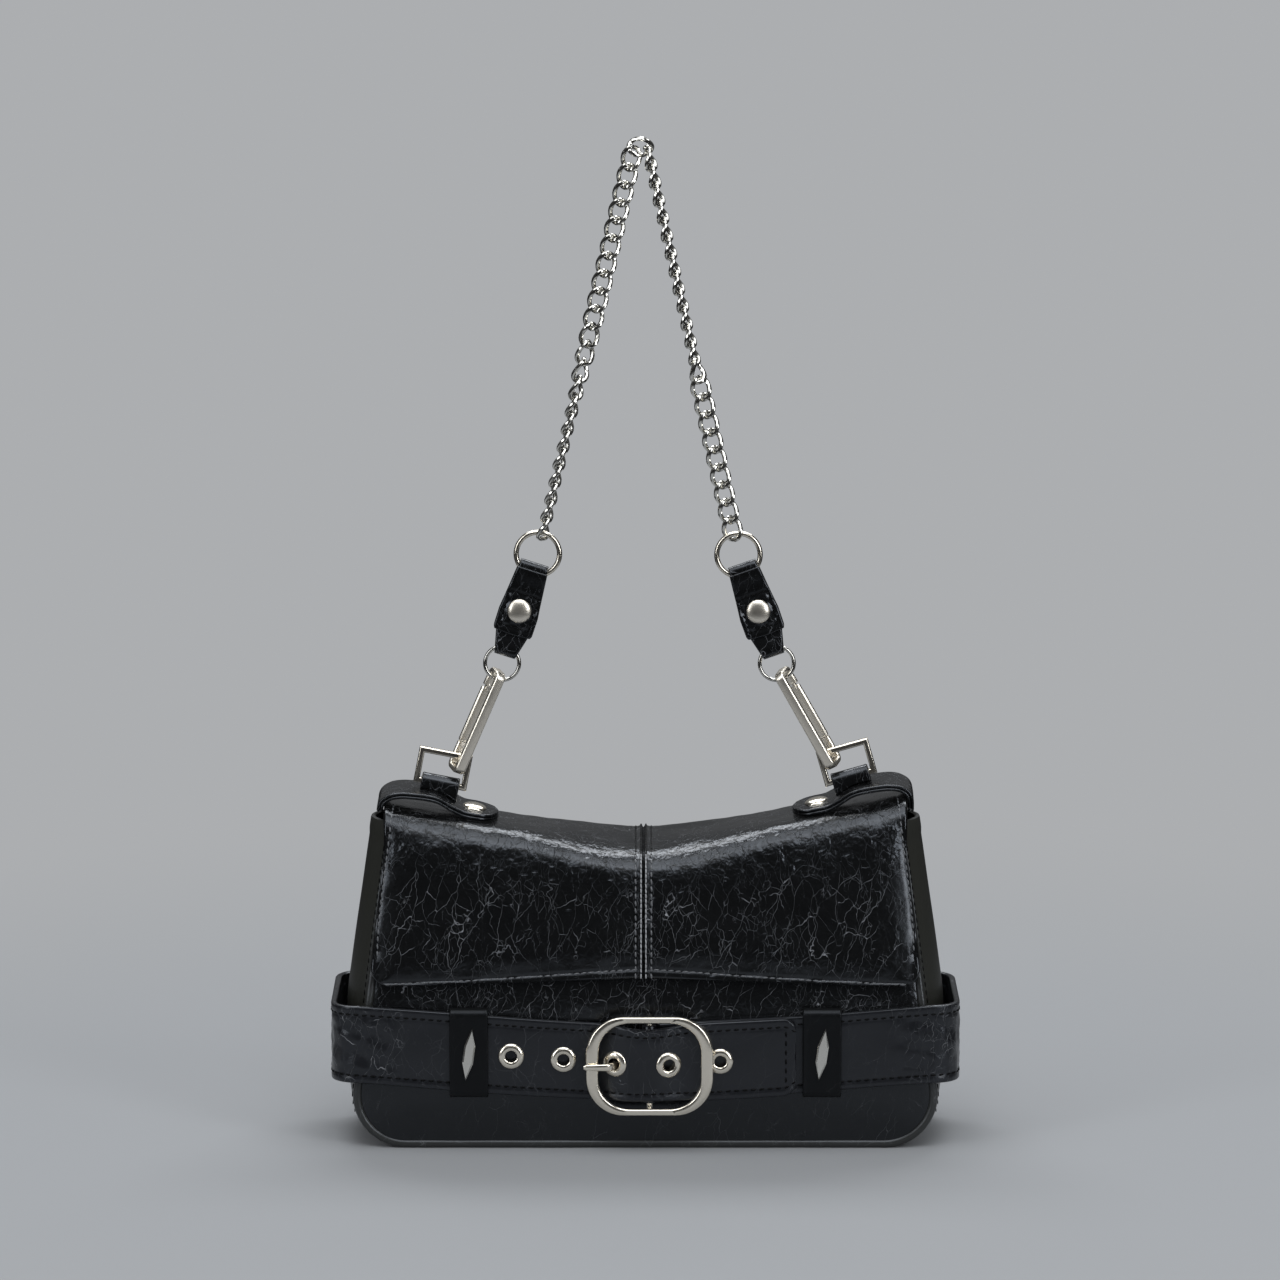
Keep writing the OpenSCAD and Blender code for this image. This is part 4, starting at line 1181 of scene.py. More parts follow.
@dataclass
class Flap:
    """The leather that runs from the back seam over the top and down the front, with its stitching."""

    kit: Kit
    columns: int = 150
    seam_x: float = -0.9
    fold_passes: int = 110
    shoulder_up: float = 2.4
    top_sag: float = 0.5
    cushion: float = 1.7
    stitch_in: float = 4.1

    def profile(self, x: float) -> Array:
        """Line of the outer face at one place across.

        Args:
            x: the place.

        Returns:
            Depth and height of each point, from the back seam to the hem.
        """
        b = self.kit.body
        out = float(smooth(abs(x), 12, 62))
        start = float(b.fold_z(x)) + self.shoulder_up * out - b.fold_r
        zb = float(b.fold_z(x)) + b.yoke_rise - self.shoulder_up * 0.7 * out - b.back_r
        over = arc2(float(b.half_d(zb)) - b.back_r, zb, b.back_r, 0, 90, 8)
        front = arc2(b.fold_r - float(b.half_d(start)) - b.flap_out, start, b.fold_r, 90, 180, 12)
        share = np.linspace(0, 1, 14)[1:-1, None]
        top = np.array(over[-1]) + (np.array(front[0]) - np.array(over[-1])) * share
        top[:, 1] -= self.top_sag * np.sin(math.pi * share[:, 0])
        hem = b.hem_h + b.hem_rise * (1 - min(1, abs(x) / (b.flap_top_w / 2))) ** 1.3
        near = 1 - 0.06 * np.array([0.8, 0.6, 0.42, 0.27, 0.15, 0.07, 0.02, 0.0])
        rows = start - (start - hem) * np.concatenate([np.linspace(0, 0.94, 84)[1:], near])
        down = np.stack([-(b.half_d(rows) + b.flap_out), rows], axis=1)
        soft = np.concatenate([over, top, front, down])
        for _ in range(self.fold_passes):
            soft[10:-9] = 0.25 * soft[9:-10] + 0.5 * soft[10:-9] + 0.25 * soft[11:-8]
        return soft

    def half_w(self, run: Array) -> Array:
        """Half width of the leather at distances along it."""
        half = self.kit.body.flap_top_w / 2
        return half + (self.kit.body.flap_hem_w / 2 - half) * smooth(run, 30, 110)

    def sheet(self) -> Array:
        """Makes the grid of the outer face.

        Returns:
            Columns from left to right, each from the back seam to the hem.
        """
        b = self.kit.body
        half = b.flap_top_w / 2
        across = edge_stations(2 * half, self.columns, 1.3) - half
        seam = np.array([0, 0.35, 0.8, 1.25, 1.7, 2.4, 3.6])
        across = np.sort(np.concatenate([across[np.abs(across) > 4.6], -seam[1:], seam]))
        grid = []
        for x in across:
            line = self.profile(x)
            z = line[:, 1]
            on_flap = np.clip((b.fold_h - 20 - z) / (b.fold_h - 20 - b.hem_h), 0, 1)
            foot = b.hem_h + b.hem_rise * (1 - min(1, abs(x) / half)) + b.hem_r
            low = np.clip(foot - z, 0, b.hem_r)
            cut = b.hem_r - np.sqrt(np.clip(b.hem_r ** 2 - low ** 2, 0, None))
            wide = half + (b.flap_hem_w / 2 - half) * on_flap - np.where(line[:, 0] < -25, cut, 0)
            grid.append(xyz(x / half * wide, line[:, 0], z))
        grid = np.array(grid)
        grid[..., 0] += self.seam_x * (1 - np.abs(grid[..., 0]) / half).clip(0)
        return grid

    def build(self) -> None:
        """Makes the flap, its seams and its lining's finish."""
        grid = self.sheet()
        x, z = grid[..., 0], grid[..., 2]
        hem_h = self.kit.body.hem_h
        run = np.array([run_along(column) for column in grid])
        edge = np.minimum(self.half_w(run) - np.abs(x), run[:, -1:] - run)
        on_flap = smooth(run, 44, 60)
        lift = on_flap - 0.25 * smooth(z, hem_h + 16, hem_h)
        grid[..., 1] += self.cushion * (1 - smooth(edge, 0, 17)) ** 1.6 * lift
        relief = 0.34 * (1 - smooth(edge, 2.6, 4.4)) - 0.30 * bump(edge, 4.1, 0.7)
        near = np.abs(x - self.seam_x)
        relief = relief + 0.85 * bump(near, 1.1, 0.5) - 0.6 * bump(near, 0, 0.4)
        relief = relief + 0.30 * (1 - smooth(near, 4.6, 6.4)) - 0.28 * bump(near, 3.6, 0.6)
        inside = smooth(edge, 3, 24) * smooth(near, 3, 20)
        relief = relief + 0.55 * inside * on_flap + 0.34 * ripple(x, run, 5, 46) * inside
        relief = relief + 0.11 * ripple(x, run, 8, 12) * smooth(edge, 0, 5)
        crackle = np.clip(0.50 + 0.60 * ripple(x, run, 12, 70) + 0.30 * on_flap, 0.12, 1.1)
        crackle = crackle * (0.65 + 0.35 * smooth(run, 26, 52)) * (0.3 + 0.7 * smooth(edge, 4, 16))
        # Band of the fold where the lamps' highlight falls: crease lines crowd there and are painted dark as
        # shade across the highlight.
        highlight_band = smooth(run, 34, 42) * (1 - smooth(run, 60, 80)) * smooth(edge, 2, 8)
        crackle = crackle + 1.9 * highlight_band
        leather = Hide("flap_leather", offset(grid[::-1], -1.1), 2.2, self.kit.paints[Finish.PATENT],
                       relief[::-1], 1.3, crackle[::-1], highlight_band[::-1]).build()
        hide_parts("yoke", "flap")
        self.blend(leather)
        self.sew(grid, run, relief)
        self.kit.paint(Finish.LINING, "flap_facing")

    def blend(self, obj: Object) -> None:
        """Keeps a piece's placement in its own mesh and logs it."""
        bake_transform(obj)
        LOG.info("%s bends with the flap, %d faces", obj.name, len(obj.data.polygons))

    def sew(self, grid: Array, run: Array, relief: Array) -> None:
        """Lays stitches along the edges, the hem and both sides of the middle seam, and pale beads along the
        seam's two ridge lines as a painted highlight.

        Args:
            grid: the outer face without its relief.
            run: distance of each point from the back seam.
            relief: height of the relief at each point.
        """
        normals = -grid_normals(grid)
        face = Face(grid + normals * (relief[..., None] * 0.9 + 0.06), normals, run)
        total = run[:, -1]
        rows, over, ridge_highlights = [], [], []
        end = float(np.interp(0, grid[:, -1, 0], total)) - 1.0
        for away in (-3.6, 3.6, -1.12, 1.12):
            top, front = np.linspace(6, 47, 30), np.linspace(48, end, 50)
            over.append(face.at(np.full(len(top), self.seam_x + away), top))
            kept = rows if abs(away) > 2 else ridge_highlights
            kept.append(face.at(np.full(len(front), self.seam_x + away), front))
        for side in (-1, 1):
            s = np.linspace(30, float(total.mean()) - 9, 50)
            rows.append(face.at(side * (self.half_w(s) - self.stitch_in), s))
        for side in (-1, 1):
            x = np.linspace(side * 5, side * (self.kit.body.flap_hem_w / 2 - 9), 50)
            hem = np.interp(np.abs(x), np.abs(grid[::side, -1, 0])[-80:], total[::side][-80:])
            rows.append(face.at(x, hem - self.stitch_in))
        stitch = self.kit.repeats.stitch
        # The flap's stitches use the thread with the painted sheen; the yoke's use plain black thread.
        self.blend(stitch("flap_stitches", rows, Finish.SHEEN_THREAD, 3.3, 2.7, 0.42, 0.10))
        self.blend(stitch("yoke_stitches", over, Finish.THREAD, 3.3, 2.7, 0.42, 0.10))
        # Pale beads on the seam's ridge lines, a painted highlight.
        self.blend(stitch("seam_ridges", ridge_highlights, Finish.RIDGE, 2.3, 2.5, 0.34, 0.03))


@dataclass
class Shell:
    """Front, back and side leather of the body with its piping and base."""

    kit: Kit
    columns: int = 90
    skin: float = 2.2
    side_skin: float = 1.8
    side_rim: float = 0.9
    tuck: float = 1.3

    def panel(self, front: bool) -> Array:
        """Grid of a main panel's outer face.

        Args:
            front: the front panel, or else the back one.

        Returns:
            Columns from left to right, each from the base up.
        """
        b = self.kit.body
        grow = b.pipe_out - b.pipe_d * 0.55
        low = b.corner_z - b.corner_r - grow
        rise = np.array([0, 0.25, 0.8, 1.8, 3.2, 5, 7.2, 10, 13, 17, 21, 26, 32, 39, 46, 54, 61])
        rise = np.concatenate([rise, np.linspace(66, b.mouth_h, 20)])
        grid = []
        for u in np.linspace(-1, 1, self.columns):
            top = b.mouth_h
            if not front:
                x_top = u * float(b.side_x(140, grow))
                top = float(b.fold_z(x_top)) + b.yoke_rise - b.back_r + 0.6
            z = low + rise / b.mouth_h * (top - low)
            wide = np.where(z <= low + 1e-6, b.corner_x, b.side_x(z, grow))
            grid.append(xyz(u * wide, -b.soft_half_d(z), z))
        grid = np.array(grid)
        x, z = grid[..., 0], grid[..., 2]
        edge = np.minimum(np.abs(b.side_x(z, grow) - np.abs(x)), z - low)
        puff = 1.1 * smooth(edge, 0, 22) * (1 - smooth(z, 34, 66)) + 0.5 * smooth(edge, 0, 12)
        puff = puff + 0.25 * ripple(x, z, 21 if front else 23, 60) * smooth(edge, 2, 25)
        puff = puff + 0.10 * ripple(x, z, 25, 14) * smooth(z, 40, 70)
        if front:
            behind = (1 - smooth(np.abs(x + 9), 14, 30)) * (1 - smooth(np.abs(z - 47), 8, 20))
            puff = puff * (1 - 0.95 * behind)
        grid[..., 1] -= puff
        if not front:
            grid[..., 1] *= -1
        return grid

    def build(self) -> None:
        """Makes the shell."""
        patent = self.kit.paints[Finish.PATENT]
        grid = self.panel(True)
        x, z = grid[..., 0], grid[..., 2]
        crackle = 0.10 + 0.75 * smooth(z, 52, 66) + 0.08 * ripple(x, z, 31, 50)
        front = Hide("front_leather", offset(grid, -self.skin / 2), self.skin, patent, 0, 1.0,
                     np.clip(crackle, 0, 1)).build()
        self.kit.ride(front, "bag", "front_panel")
        grid = self.panel(False)[::-1]
        crackle = 0.25 + 0.6 * smooth(grid[..., 2], 52, 80)
        relief = 0.3 * bump(grid[..., 0], 0, 1.2) - 0.3 * bump(grid[..., 0], 0, 0.35)
        back = Hide("back_leather", offset(grid, -self.skin / 2), self.skin, patent, relief, 1.0,
                    crackle).build()
        self.kit.ride(back, "bag", "back_panel")
        for side in Side:
            self.gusset(side)
        self.piping("piping_front", -1, self.kit.body.mouth_h)
        self.piping("piping_back", 1, self.kit.body.gusset_h - 5)
        self.kit.paint(Finish.SMOOTH, "base_panel")
        self.kit.paint(Finish.BOARD, "base_board")
        self.kit.paint(Finish.LINING, "lining")
        self.kit.paint(Finish.NICKEL, "panel_magnet", "flap_magnet")

    def gusset(self, side: Side) -> None:
        """Makes one soft side of the body, which turns under at its lower corner.

        Args:
            side: which end of the bag.
        """
        b = self.kit.body
        s = side.value
        r = b.corner_r + b.pipe_out
        turns = [math.radians(-90 + (90 + math.degrees(b.side_a)) * i / 16) for i in range(17)]
        rows = [(b.corner_x + r * math.cos(a), b.corner_z + r * math.sin(a), math.cos(a), math.sin(a))
                for a in turns]
        z0, top = rows[-1][1], b.gusset_h
        share = np.concatenate([np.linspace(0, 0.95, 44)[1:], [0.965, 0.98, 0.99, 0.996, 1.0]])
        rows += [(float(b.side_x(z, b.pipe_out)), z, 1.0, 0.0) for z in z0 + (top - z0) * share]
        rim = [0.94, 0.975, 0.995, 1]
        v = np.concatenate([[-t for t in rim[::-1]], np.linspace(-0.9, 0.9, 27), rim])
        grid = []
        for px, pz, dx, dz in rows:
            t = min(1, pz / (b.fold_h * 0.47))
            full = t * t * (3 - 2 * t) * (1 - 0.12 * max(0, pz - b.waist_h) / (b.fold_h - b.waist_h))
            run = float(b.half_d(pz)) + b.pipe_proud - b.pipe_d - 0.2
            wave = 0.25 * ripple(v * 30, np.full_like(v, pz), 41, 60)
            out = (b.gusset_bulge * full + wave) * (1 - v * v)
            tuck = self.tuck * (smooth(v, 0.9, 1) - smooth(-v, 0.9, 1))
            grid.append(xyz(s * (px + out * dx), v * run + tuck, pz + out * dz))
        grid = np.array(grid)
        if s > 0:
            grid = grid[:, ::-1]
        height = grid[..., 2]
        relief = 0.5 * smooth(height, top - 9, top - 7) * (1 - 0.5 * bump(height, top - 7, 0.8))
        sheet = Hide(f"gusset_leather_{side.tag}", offset(grid, -self.side_skin / 2), self.side_skin,
                     self.kit.paints[Finish.SMOOTH], relief, self.side_rim, 0.12).build()
        self.kit.ride(sheet, "bag", f"gusset_{side.tag}")
        facing = np.tile([s, 0, 0.1], (len(grid) - 18, 1))
        rows = [(grid[12:-6, column] + np.array([s * 0.15, 0, 0]), facing) for column in (2, -3)]
        seam = self.kit.repeats.stitch(f"gusset_stitches_{side.tag}", rows, Finish.THREAD, 3.6, 2.6)
        self.kit.ride(seam, "bag")

    def piping(self, node: str, face: int, z_top: float) -> None:
        """Makes one run of piping round a main panel.

        Args:
            node: the CAD node that it stands for.
            face: -1 for the front, 1 for the back.
            z_top: height of its two ends.
        """
        b = self.kit.body
        half = b.outline(b.pipe_out - b.pipe_d / 2, z_top)
        line = np.concatenate([half[::-1] * np.array([-1, 1]), half[1:]])
        y = face * (b.half_d(line[:, 1]) + b.pipe_proud - b.pipe_d / 2)
        s = run_along(line)
        wave = 0.16 * np.sin(s / 13) + 0.12 * np.sin(s / 7.3 + 1)
        path = xyz(line[:, 0], y + 0.4 * wave * face, line[:, 1])
        a, out = path_frame(path, np.array([0, 1.0, 0]))
        section = np.array([round_section(b.pipe_d / 2 * (1 + 0.02 * math.sin(v / 5.0))) for v in s])
        verts, faces = sweep(path, a, out, section)
        verts[:, 2] = np.maximum(verts[:, 2], 0)
        obj = mesh_object(node + "_cord", verts, faces, self.kit.paints[Finish.PIPING])
        weld(obj)
        set_mask(obj, "crackle", np.full(len(obj.data.vertices), 0.25))
        self.kit.ride(obj, "bag", node)


@dataclass
class Belt:
    """The belt round the body with its eyelets, keepers and studs."""

    kit: Kit
    width: float = 36.5
    thick: float = 2.6
    loop_w: float = 289
    corner_r: float = 12.6
    mid_h: float = 49.6
    sag: float = 8.6
    plane: float = 35.3
    tail_x: float = 69
    tail_r: float = 6
    pitch: float = 24
    hole_r: float = 2.95
    keeper_x: float = 81
    keeper_w: float = 17.7
    keeper_t: float = 1.5
    keeper_gap: float = 0.4
    keeper_seat: float = -34.35
    buckle_x: float = 1.9
    frame_w: float = 58.4
    out_left: float = 0.9
    out_mid: float = 6.8
    out_right: float = 3.7
    stitch_in: float = 4.2
    stud: Triple = (5, 25, 1.2)
    stud_lean: float = math.radians(8)

    def __post_init__(self) -> None:
        """Works out the strap's steps at the buckle."""
        h = self.frame_w / 2
        self.knee = self.loop_w / 2 - self.corner_r
        self.steps = [(-0.755 * h, self.out_left), (-0.31 * h, self.out_mid), (0.11 * h, self.out_mid),
                      (0.525 * h, self.out_right)]
        self.eye_x = self.buckle_x - (0.31 + 0.755) / 2 * h

    def mid(self, x: Array) -> Array:
        """Height of the belt's middle line."""
        share = np.minimum(1, np.abs(np.asarray(x, float)) / self.knee) ** 1.2
        return self.mid_h - self.sag * (1 - share)

    def strap_y(self, x: Array) -> Array:
        """Depth of the long strap's middle plane in front."""
        xs, outs = zip(*self.steps)
        return -self.plane - self.thick / 2 - np.interp(np.asarray(x, float) - self.buckle_x, xs, outs)

    def turn(self) -> list[Point]:
        """Middle line in X and Y from the back round the left corner to the front."""
        c = self.corner_r - self.thick / 2
        back = self.plane + self.thick / 2
        return ([(-0.2, back)] + arc2(-self.knee, back - c, c, 90, 180, 10)
                + arc2(-self.knee, c - back - self.out_left, c, 180, 270, 10))

    def strap(self, line: Array, name: str, tail: bool) -> Object:
        """Makes one strap of the belt and its stitches.

        Args:
            line: its middle line in X and Y.
            name: name of the piece.
            tail: whether it ends in the rounded tail.

        Returns:
            The strap.
        """
        half = self.width / 2
        across = half - edge_stations(self.width, 30, 0.9)
        x, y = line[:, 0], line[:, 1]
        s = run_along(line)
        front = y < 0
        in_frame = bump(x - self.buckle_x, 0, 15.5) * front if tail else np.zeros(len(x))
        tt = across[:, None] * np.ones(len(x))
        reach = np.abs(tt)
        if tail:
            over = np.clip(x - (self.tail_x - self.tail_r), 0, self.tail_r)
            limit = half - self.tail_r + np.sqrt(np.clip(self.tail_r ** 2 - over ** 2, 0, None))
            reach = np.where((over > 0) & front, reach * limit / half, reach)
        reach = reach * (1 - 0.075 * in_frame)
        wave = 0.25 * np.sin(s / 19 + np.where(tt > 0, 1, 2.4)) * (np.abs(tt) / half) ** 4
        grid = xyz(x, y, self.mid(x) + np.copysign(1, tt) * reach + wave)
        run = s[None] * np.ones_like(tt)
        edge = np.minimum(half - np.abs(tt), s[-1] - run if tail else half)
        bend = np.clip((np.abs(x) - (self.knee - 22)) / 14, 0, 1)[None]
        relief = 0.22 * (1 - smooth(edge, 2.9, 4.6)) - 0.26 * bump(edge, 4.2, 0.6)
        relief = relief + 0.42 * ripple(run, tt, 61, 9) * bend * smooth(edge, 1, 6)
        relief = relief + 0.14 * ripple(run * 1.3, tt, 62, 4.5) * bend * smooth(edge, 1, 6)
        relief = relief + 0.12 * ripple(run, tt, 63, 26) * smooth(edge, 1, 8)
        if tail:
            folds = ripple(run * 1.6, tt * 0.5, 65, 11) * in_frame[None]
            relief = relief + 0.30 * folds * smooth(np.abs(tt), 9, 16)
        # Crease lines crowd the bent ends and the folds inside the frame; they carry the pale painted glint
        # colour there.
        crackle = 0.10 + 0.8 * bend + 0.55 * in_frame[None] * smooth(np.abs(tt), 6, 14)
        crackle = np.clip(crackle + 0.10 * ripple(run, tt, 67, 60), 0.05, 1.0)
        obj = Hide(name, grid, self.thick, self.kit.paints[Finish.BELT], relief, 0.9, crackle).build()
        normals = grid_normals(grid)
        face = grid + normals * (self.thick / 2 + 0.03)
        rows = []
        for side in (-1, 1):
            r = int(np.argmin(np.abs(across - side * (half - self.stitch_in))))
            keep = slice(3, len(x) - (4 if tail else 26))
            rows.append((face[r][keep], normals[r][keep]))
        if tail:
            c = int(np.argmin(np.abs(s - (s[-1] - self.stitch_in))))
            rows.append((face[10:-10, c], normals[10:-10, c]))
        seam = self.kit.repeats.stitch(name + "_stitches", rows, Finish.THREAD, 3.8, 2.6, 0.50, 0.06)
        self.kit.ride(seam, "bag")
        return obj

    def long_line(self) -> Array:
        """Middle line of the long strap, eased at the buckle."""
        points = self.turn()
        points += [(self.buckle_x + a, float(self.strap_y(self.buckle_x + a))) for a, _ in self.steps]
        points.append((self.tail_x, float(self.strap_y(self.tail_x))))
        line = rounded_line(np.array(points), 1.15, 5)
        near = edge_stations(6.0, 3, 0.9)[:5]
        head = np.stack([self.tail_x - near[::-1], np.full(5, line[-1, 1])], axis=1)
        return np.concatenate([line[:-3], head])

    def eyelet_places(self) -> list[Matrix]:
        """Place of each eyelet, its Z out of the strap's face."""
        places = []
        for k in range(-2, 3):
            x = self.eye_x + k * self.pitch
            slope = math.atan2(float(self.strap_y(x - 3) - self.strap_y(x + 3)), 6)
            turn = Matrix.Rotation(-slope, 4, "Z") @ Matrix.Rotation(math.pi / 2, 4, "X")
            places.append(Matrix.Translation((x, float(self.strap_y(x)), float(self.mid(x)))) @ turn)
        return places

    def build(self) -> None:
        """Makes the straps, eyelets, keepers and studs."""
        strap = self.strap(self.long_line(), "belt_long_leather", True)
        self.pierce(strap)
        self.kit.ride(strap, "bag", "belt_long")
        points = [(-a, b + (self.out_left - 0.2 if b < 0 else 0)) for a, b in self.turn()]
        points.append((self.buckle_x + 3.2, -self.plane - 0.2 - self.thick / 2))
        short = self.strap(rounded_line(np.array(points), 1.6, 3)[::-1], "belt_short_leather", False)
        self.kit.ride(short, "bag", "belt_short")
        ends = ((-18.2, 2.7), (-17.6, 3.05), (17.6, 3.05), (18.2, 2.7))
        roll = rod([(self.buckle_x, -38.6, 41.055 + z) for z, _ in ends], (1, 0, 0), (0, 1, 0),
                   np.array([round_section(r, 28) for _, r in ends]))
        self.kit.ride(mesh_object("belt_wrap", *roll, self.kit.paints[Finish.BELT]), "bag")
        self.eyelets()
        for side in Side:
            self.keeper(side)
            self.keeper_stud(side)

    def pierce(self, strap: Object) -> None:
        """Cuts the eyelet holes through the strap."""
        pin = lathe([(0, -6), (self.hole_r, -6), (self.hole_r, 6), (0, 6)], 28)
        pins = [placed(pin, m) for m in self.eyelet_places()]
        cutter = joined("cutter", pins, self.kit.paints[Finish.BELT])
        cut = strap.modifiers.new("Holes", "BOOLEAN")
        cut.object = cutter
        cut.solver = "EXACT"
        keep_result(strap)
        bpy.data.objects.remove(cutter, do_unlink=True)

    def eyelets(self) -> None:
        """Makes the five metal eyelets."""
        face = [(2.75, 0.5), (2.85, 0.85), (3.2, 1.12), (3.9, 1.25), (4.7, 1.12), (5.4, 0.8), (5.85, 0.4),
                (5.95, 0.12), (5.6, 0.05), (3.2, 0.1)]
        back = [(3.2, -0.1), (4.0, -0.2), (4.0, -0.55), (2.75, -0.6)]
        half = self.thick / 2
        profile = [(r, up - half) for r, up in back[-1:]] + [(r, half + up) for r, up in face]
        profile += [(r, up - half) for r, up in back]
        rims = self.kit.repeats.copy_piece("eyelet_rims", lathe(profile, 44), self.eyelet_places(),
                                           Finish.NICKEL)
        self.kit.ride(rims, "bag", "eyelets")

    def keeper_front(self) -> float:
        """Depth of the middle of a keeper's front."""
        return -self.plane - (self.out_left + self.thick + self.keeper_gap) - self.keeper_t / 2

    def keeper(self, side: Side) -> None:
        """Makes one keeper loop.

        Args:
            side: which end of the bag.
        """
        x0 = side.value * self.keeper_x
        rise = float(self.mid(self.keeper_x + self.keeper_w / 2) - self.mid(self.keeper_x))
        half = self.width / 2 + rise + self.keeper_gap + self.keeper_t / 2
        front, bend = self.keeper_front(), 2.2
        line = [(self.keeper_seat, half)] + arc2(front + bend, half - bend, bend, 90, 180, 6)
        line += arc2(front + bend, -half + bend, bend, 180, 270, 6) + [(self.keeper_seat, -half)]
        line = resample(np.array(line), 0.9)
        across = edge_stations(self.keeper_w, 12, 0.7) - self.keeper_w / 2
        z = float(self.mid(x0)) + line[:, 1]
        grid = xyz(x0 + across[:, None], line[:, 0], z)
        edge = self.keeper_w / 2 - np.abs(across)[:, None] * np.ones(len(line))
        relief = 0.16 * (1 - smooth(edge, 1.0, 1.7)) - 0.22 * bump(edge, 1.7, 0.35)
        relief = relief + 0.06 * ripple(grid[..., 0], grid[..., 2], 71, 16)
        loop = Hide(f"keeper_leather_{side.tag}", grid[::-1], self.keeper_t,
                    self.kit.paints[Finish.KEEPER], relief[::-1], 0.7, 0.15).build()
        self.kit.ride(loop, "bag", f"keeper_{side.tag}")

    def keeper_stud(self, side: Side) -> None:
        """Makes the plain pointed stud of one keeper.

        Args:
            side: which end of the bag.
        """
        x0 = side.value * self.keeper_x
        w, h, t = self.stud
        right = [(0, -h / 2), (w / 2, -h * 0.16), (w / 2, h * 0.16)]
        outline = np.array(right + [(-x, -z) for x, z in right])
        cos, sin = math.cos(self.stud_lean), math.sin(self.stud_lean)
        turn = np.array([[cos, sin], [-sin, cos]])
        verts = []
        for share, up in ((1.0, 0.0), (1.0, t * 0.45), (0.72, t)):
            ring = (outline * np.array([share, 1 - (1 - share) * 0.35])) @ turn.T
            y = self.keeper_front() - self.keeper_t / 2 - 0.12 - up
            verts += [(x0 + a, y, float(self.mid(x0)) + c) for a, c in ring]
        n = len(outline)
        faces = grid_faces(3, n, close_cols=True) + [tuple(range(n))[::-1], tuple(range(2 * n, 3 * n))]
        stud = joined(f"keeper_stud_{side.tag}", [(np.array(verts), faces)],
                      self.kit.paints[Finish.STEEL], math.radians(12))
        self.kit.ride(stud, "bag", "keeper_studs")


@dataclass
class Buckle:
    """Buckle frame with its bar, posts and tongue."""

    kit: Kit
    centre: Triple = (1.9, -38.6, 41.0553)
    plane: float = 35.3
    frame_out: float = 7.7
    size: tuple[float, float] = (58.4, 46.4)
    side_w: float = 5.7
    rail_w: float = 3.2
    frame_t: float = 2.6
    corner_r: float = 17.5
    inner_r: float = 14.1
    bar_d: float = 3.0
    post_r: float = 1.4
    tongue_w: float = 3.6
    tongue_t: float = 2.2
    sharp: float = math.radians(40)

    def ring_points(self, w: float, h: float, r: float) -> Array:
        """Rounded rectangle with the same number of points whatever its size.

        Args:
            w: width.
            h: height.
            r: radius of its corners.

        Returns:
            The points in order.
        """
        points = []
        for start, sx, sy in ((0, 1, 1), (90, -1, 1), (180, -1, -1), (270, 1, -1)):
            points += arc2(sx * (w / 2 - r), sy * (h / 2 - r), r, start, start + 90, 14)
        return np.array(points)

    def build(self) -> None:
        """Makes the frame and the tongue."""
        cx, bar_y, cz = self.centre
        w, h = self.size
        outer = self.ring_points(w, h, self.corner_r)
        inner = self.ring_points(w - 2 * self.side_w, h - 2 * self.rail_w, self.inner_r)
        back = -self.plane - self.frame_out
        section = [(0.0, 0.25), (0.0, 0.62), (0.07, 0.86), (0.20, 1.0), (0.80, 1.0), (0.93, 0.86),
                   (1.0, 0.62), (1.0, 0.25), (0.93, 0.0), (0.07, 0.0)]
        rings = []
        for share, up in section:
            p = outer + (inner - outer) * share
            rings.append(xyz(cx + p[:, 0], back - up * self.frame_t, cz + p[:, 1]))
        faces = grid_faces(len(rings), len(outer), close_rows=True, close_cols=True)
        parts = [(np.array(rings).reshape(-1, 3), faces)]
        post = h / 2 - self.rail_w / 2
        parts.append(rod([(cx, bar_y, cz - post), (cx, bar_y, cz + post)], (1, 0, 0), (0, 1, 0),
                         round_section(self.bar_d / 2, 20)))
        for z in (cz - post, cz + post):
            parts.append(rod([(cx, back - 0.5, z), (cx, bar_y + 1.2, z)], (1, 0, 0), (0, 0, 1),
                             round_section(self.post_r, 16)))
        frame = joined("buckle_ring", parts, self.kit.paints[Finish.NICKEL], self.sharp)
        self.kit.ride(frame, "frame_body", "buckle_frame")
        self.tongue()

    def tongue(self) -> None:
        """Makes the tongue that comes out through an eyelet and lies on the frame."""
        cx, _, cz = self.centre
        line = [(0.0, 3.3), (-9.0, 1.9), (-13.7, 1.9), (-18.1, 11.0), (-20.7, 11.7), (-30.2, 11.6)]
        line = rounded_line(np.array(line), 0.5, 9)
        line = line[line[:, 0] < -2.6]
        path = xyz(cx + line[:, 0], -self.plane - line[:, 1], cz)
        s = np.linspace(0, 1, len(path))
        wide = self.tongue_w / 2 * (1 - 0.22 * smooth(s, 0.5, 1.0)) * (1 - 0.35 * smooth(s, 0.965, 1.0))
        tall = self.tongue_t / 2 * (1 - 0.45 * smooth(s, 0.96, 1.0))
        a, b = path_frame(path, np.array([0, 0, 1.0]))
        t = np.linspace(0, math.tau, 24, endpoint=False)
        oval = np.stack([np.copysign(np.abs(np.cos(t)) ** 0.55, np.cos(t)),
                         np.copysign(np.abs(np.sin(t)) ** 0.7, np.sin(t))], axis=1)
        section = np.array([oval * np.array([w, h]) for w, h in zip(wide, tall)])
        barrel = [(1.56, -1.8), (2.9, -1.8), (3.1, -1.5), (3.1, 1.5), (2.9, 1.8), (1.56, 1.8), (1.56, -1.8)]
        parts = [sweep(path, a, b, section), placed(lathe(barrel, 32), Matrix.Translation(self.centre))]
        obj = joined("tongue_bar", parts, self.kit.paints[Finish.NICKEL], self.sharp)
        self.kit.ride(obj, "tongue_body", "buckle_tongue")


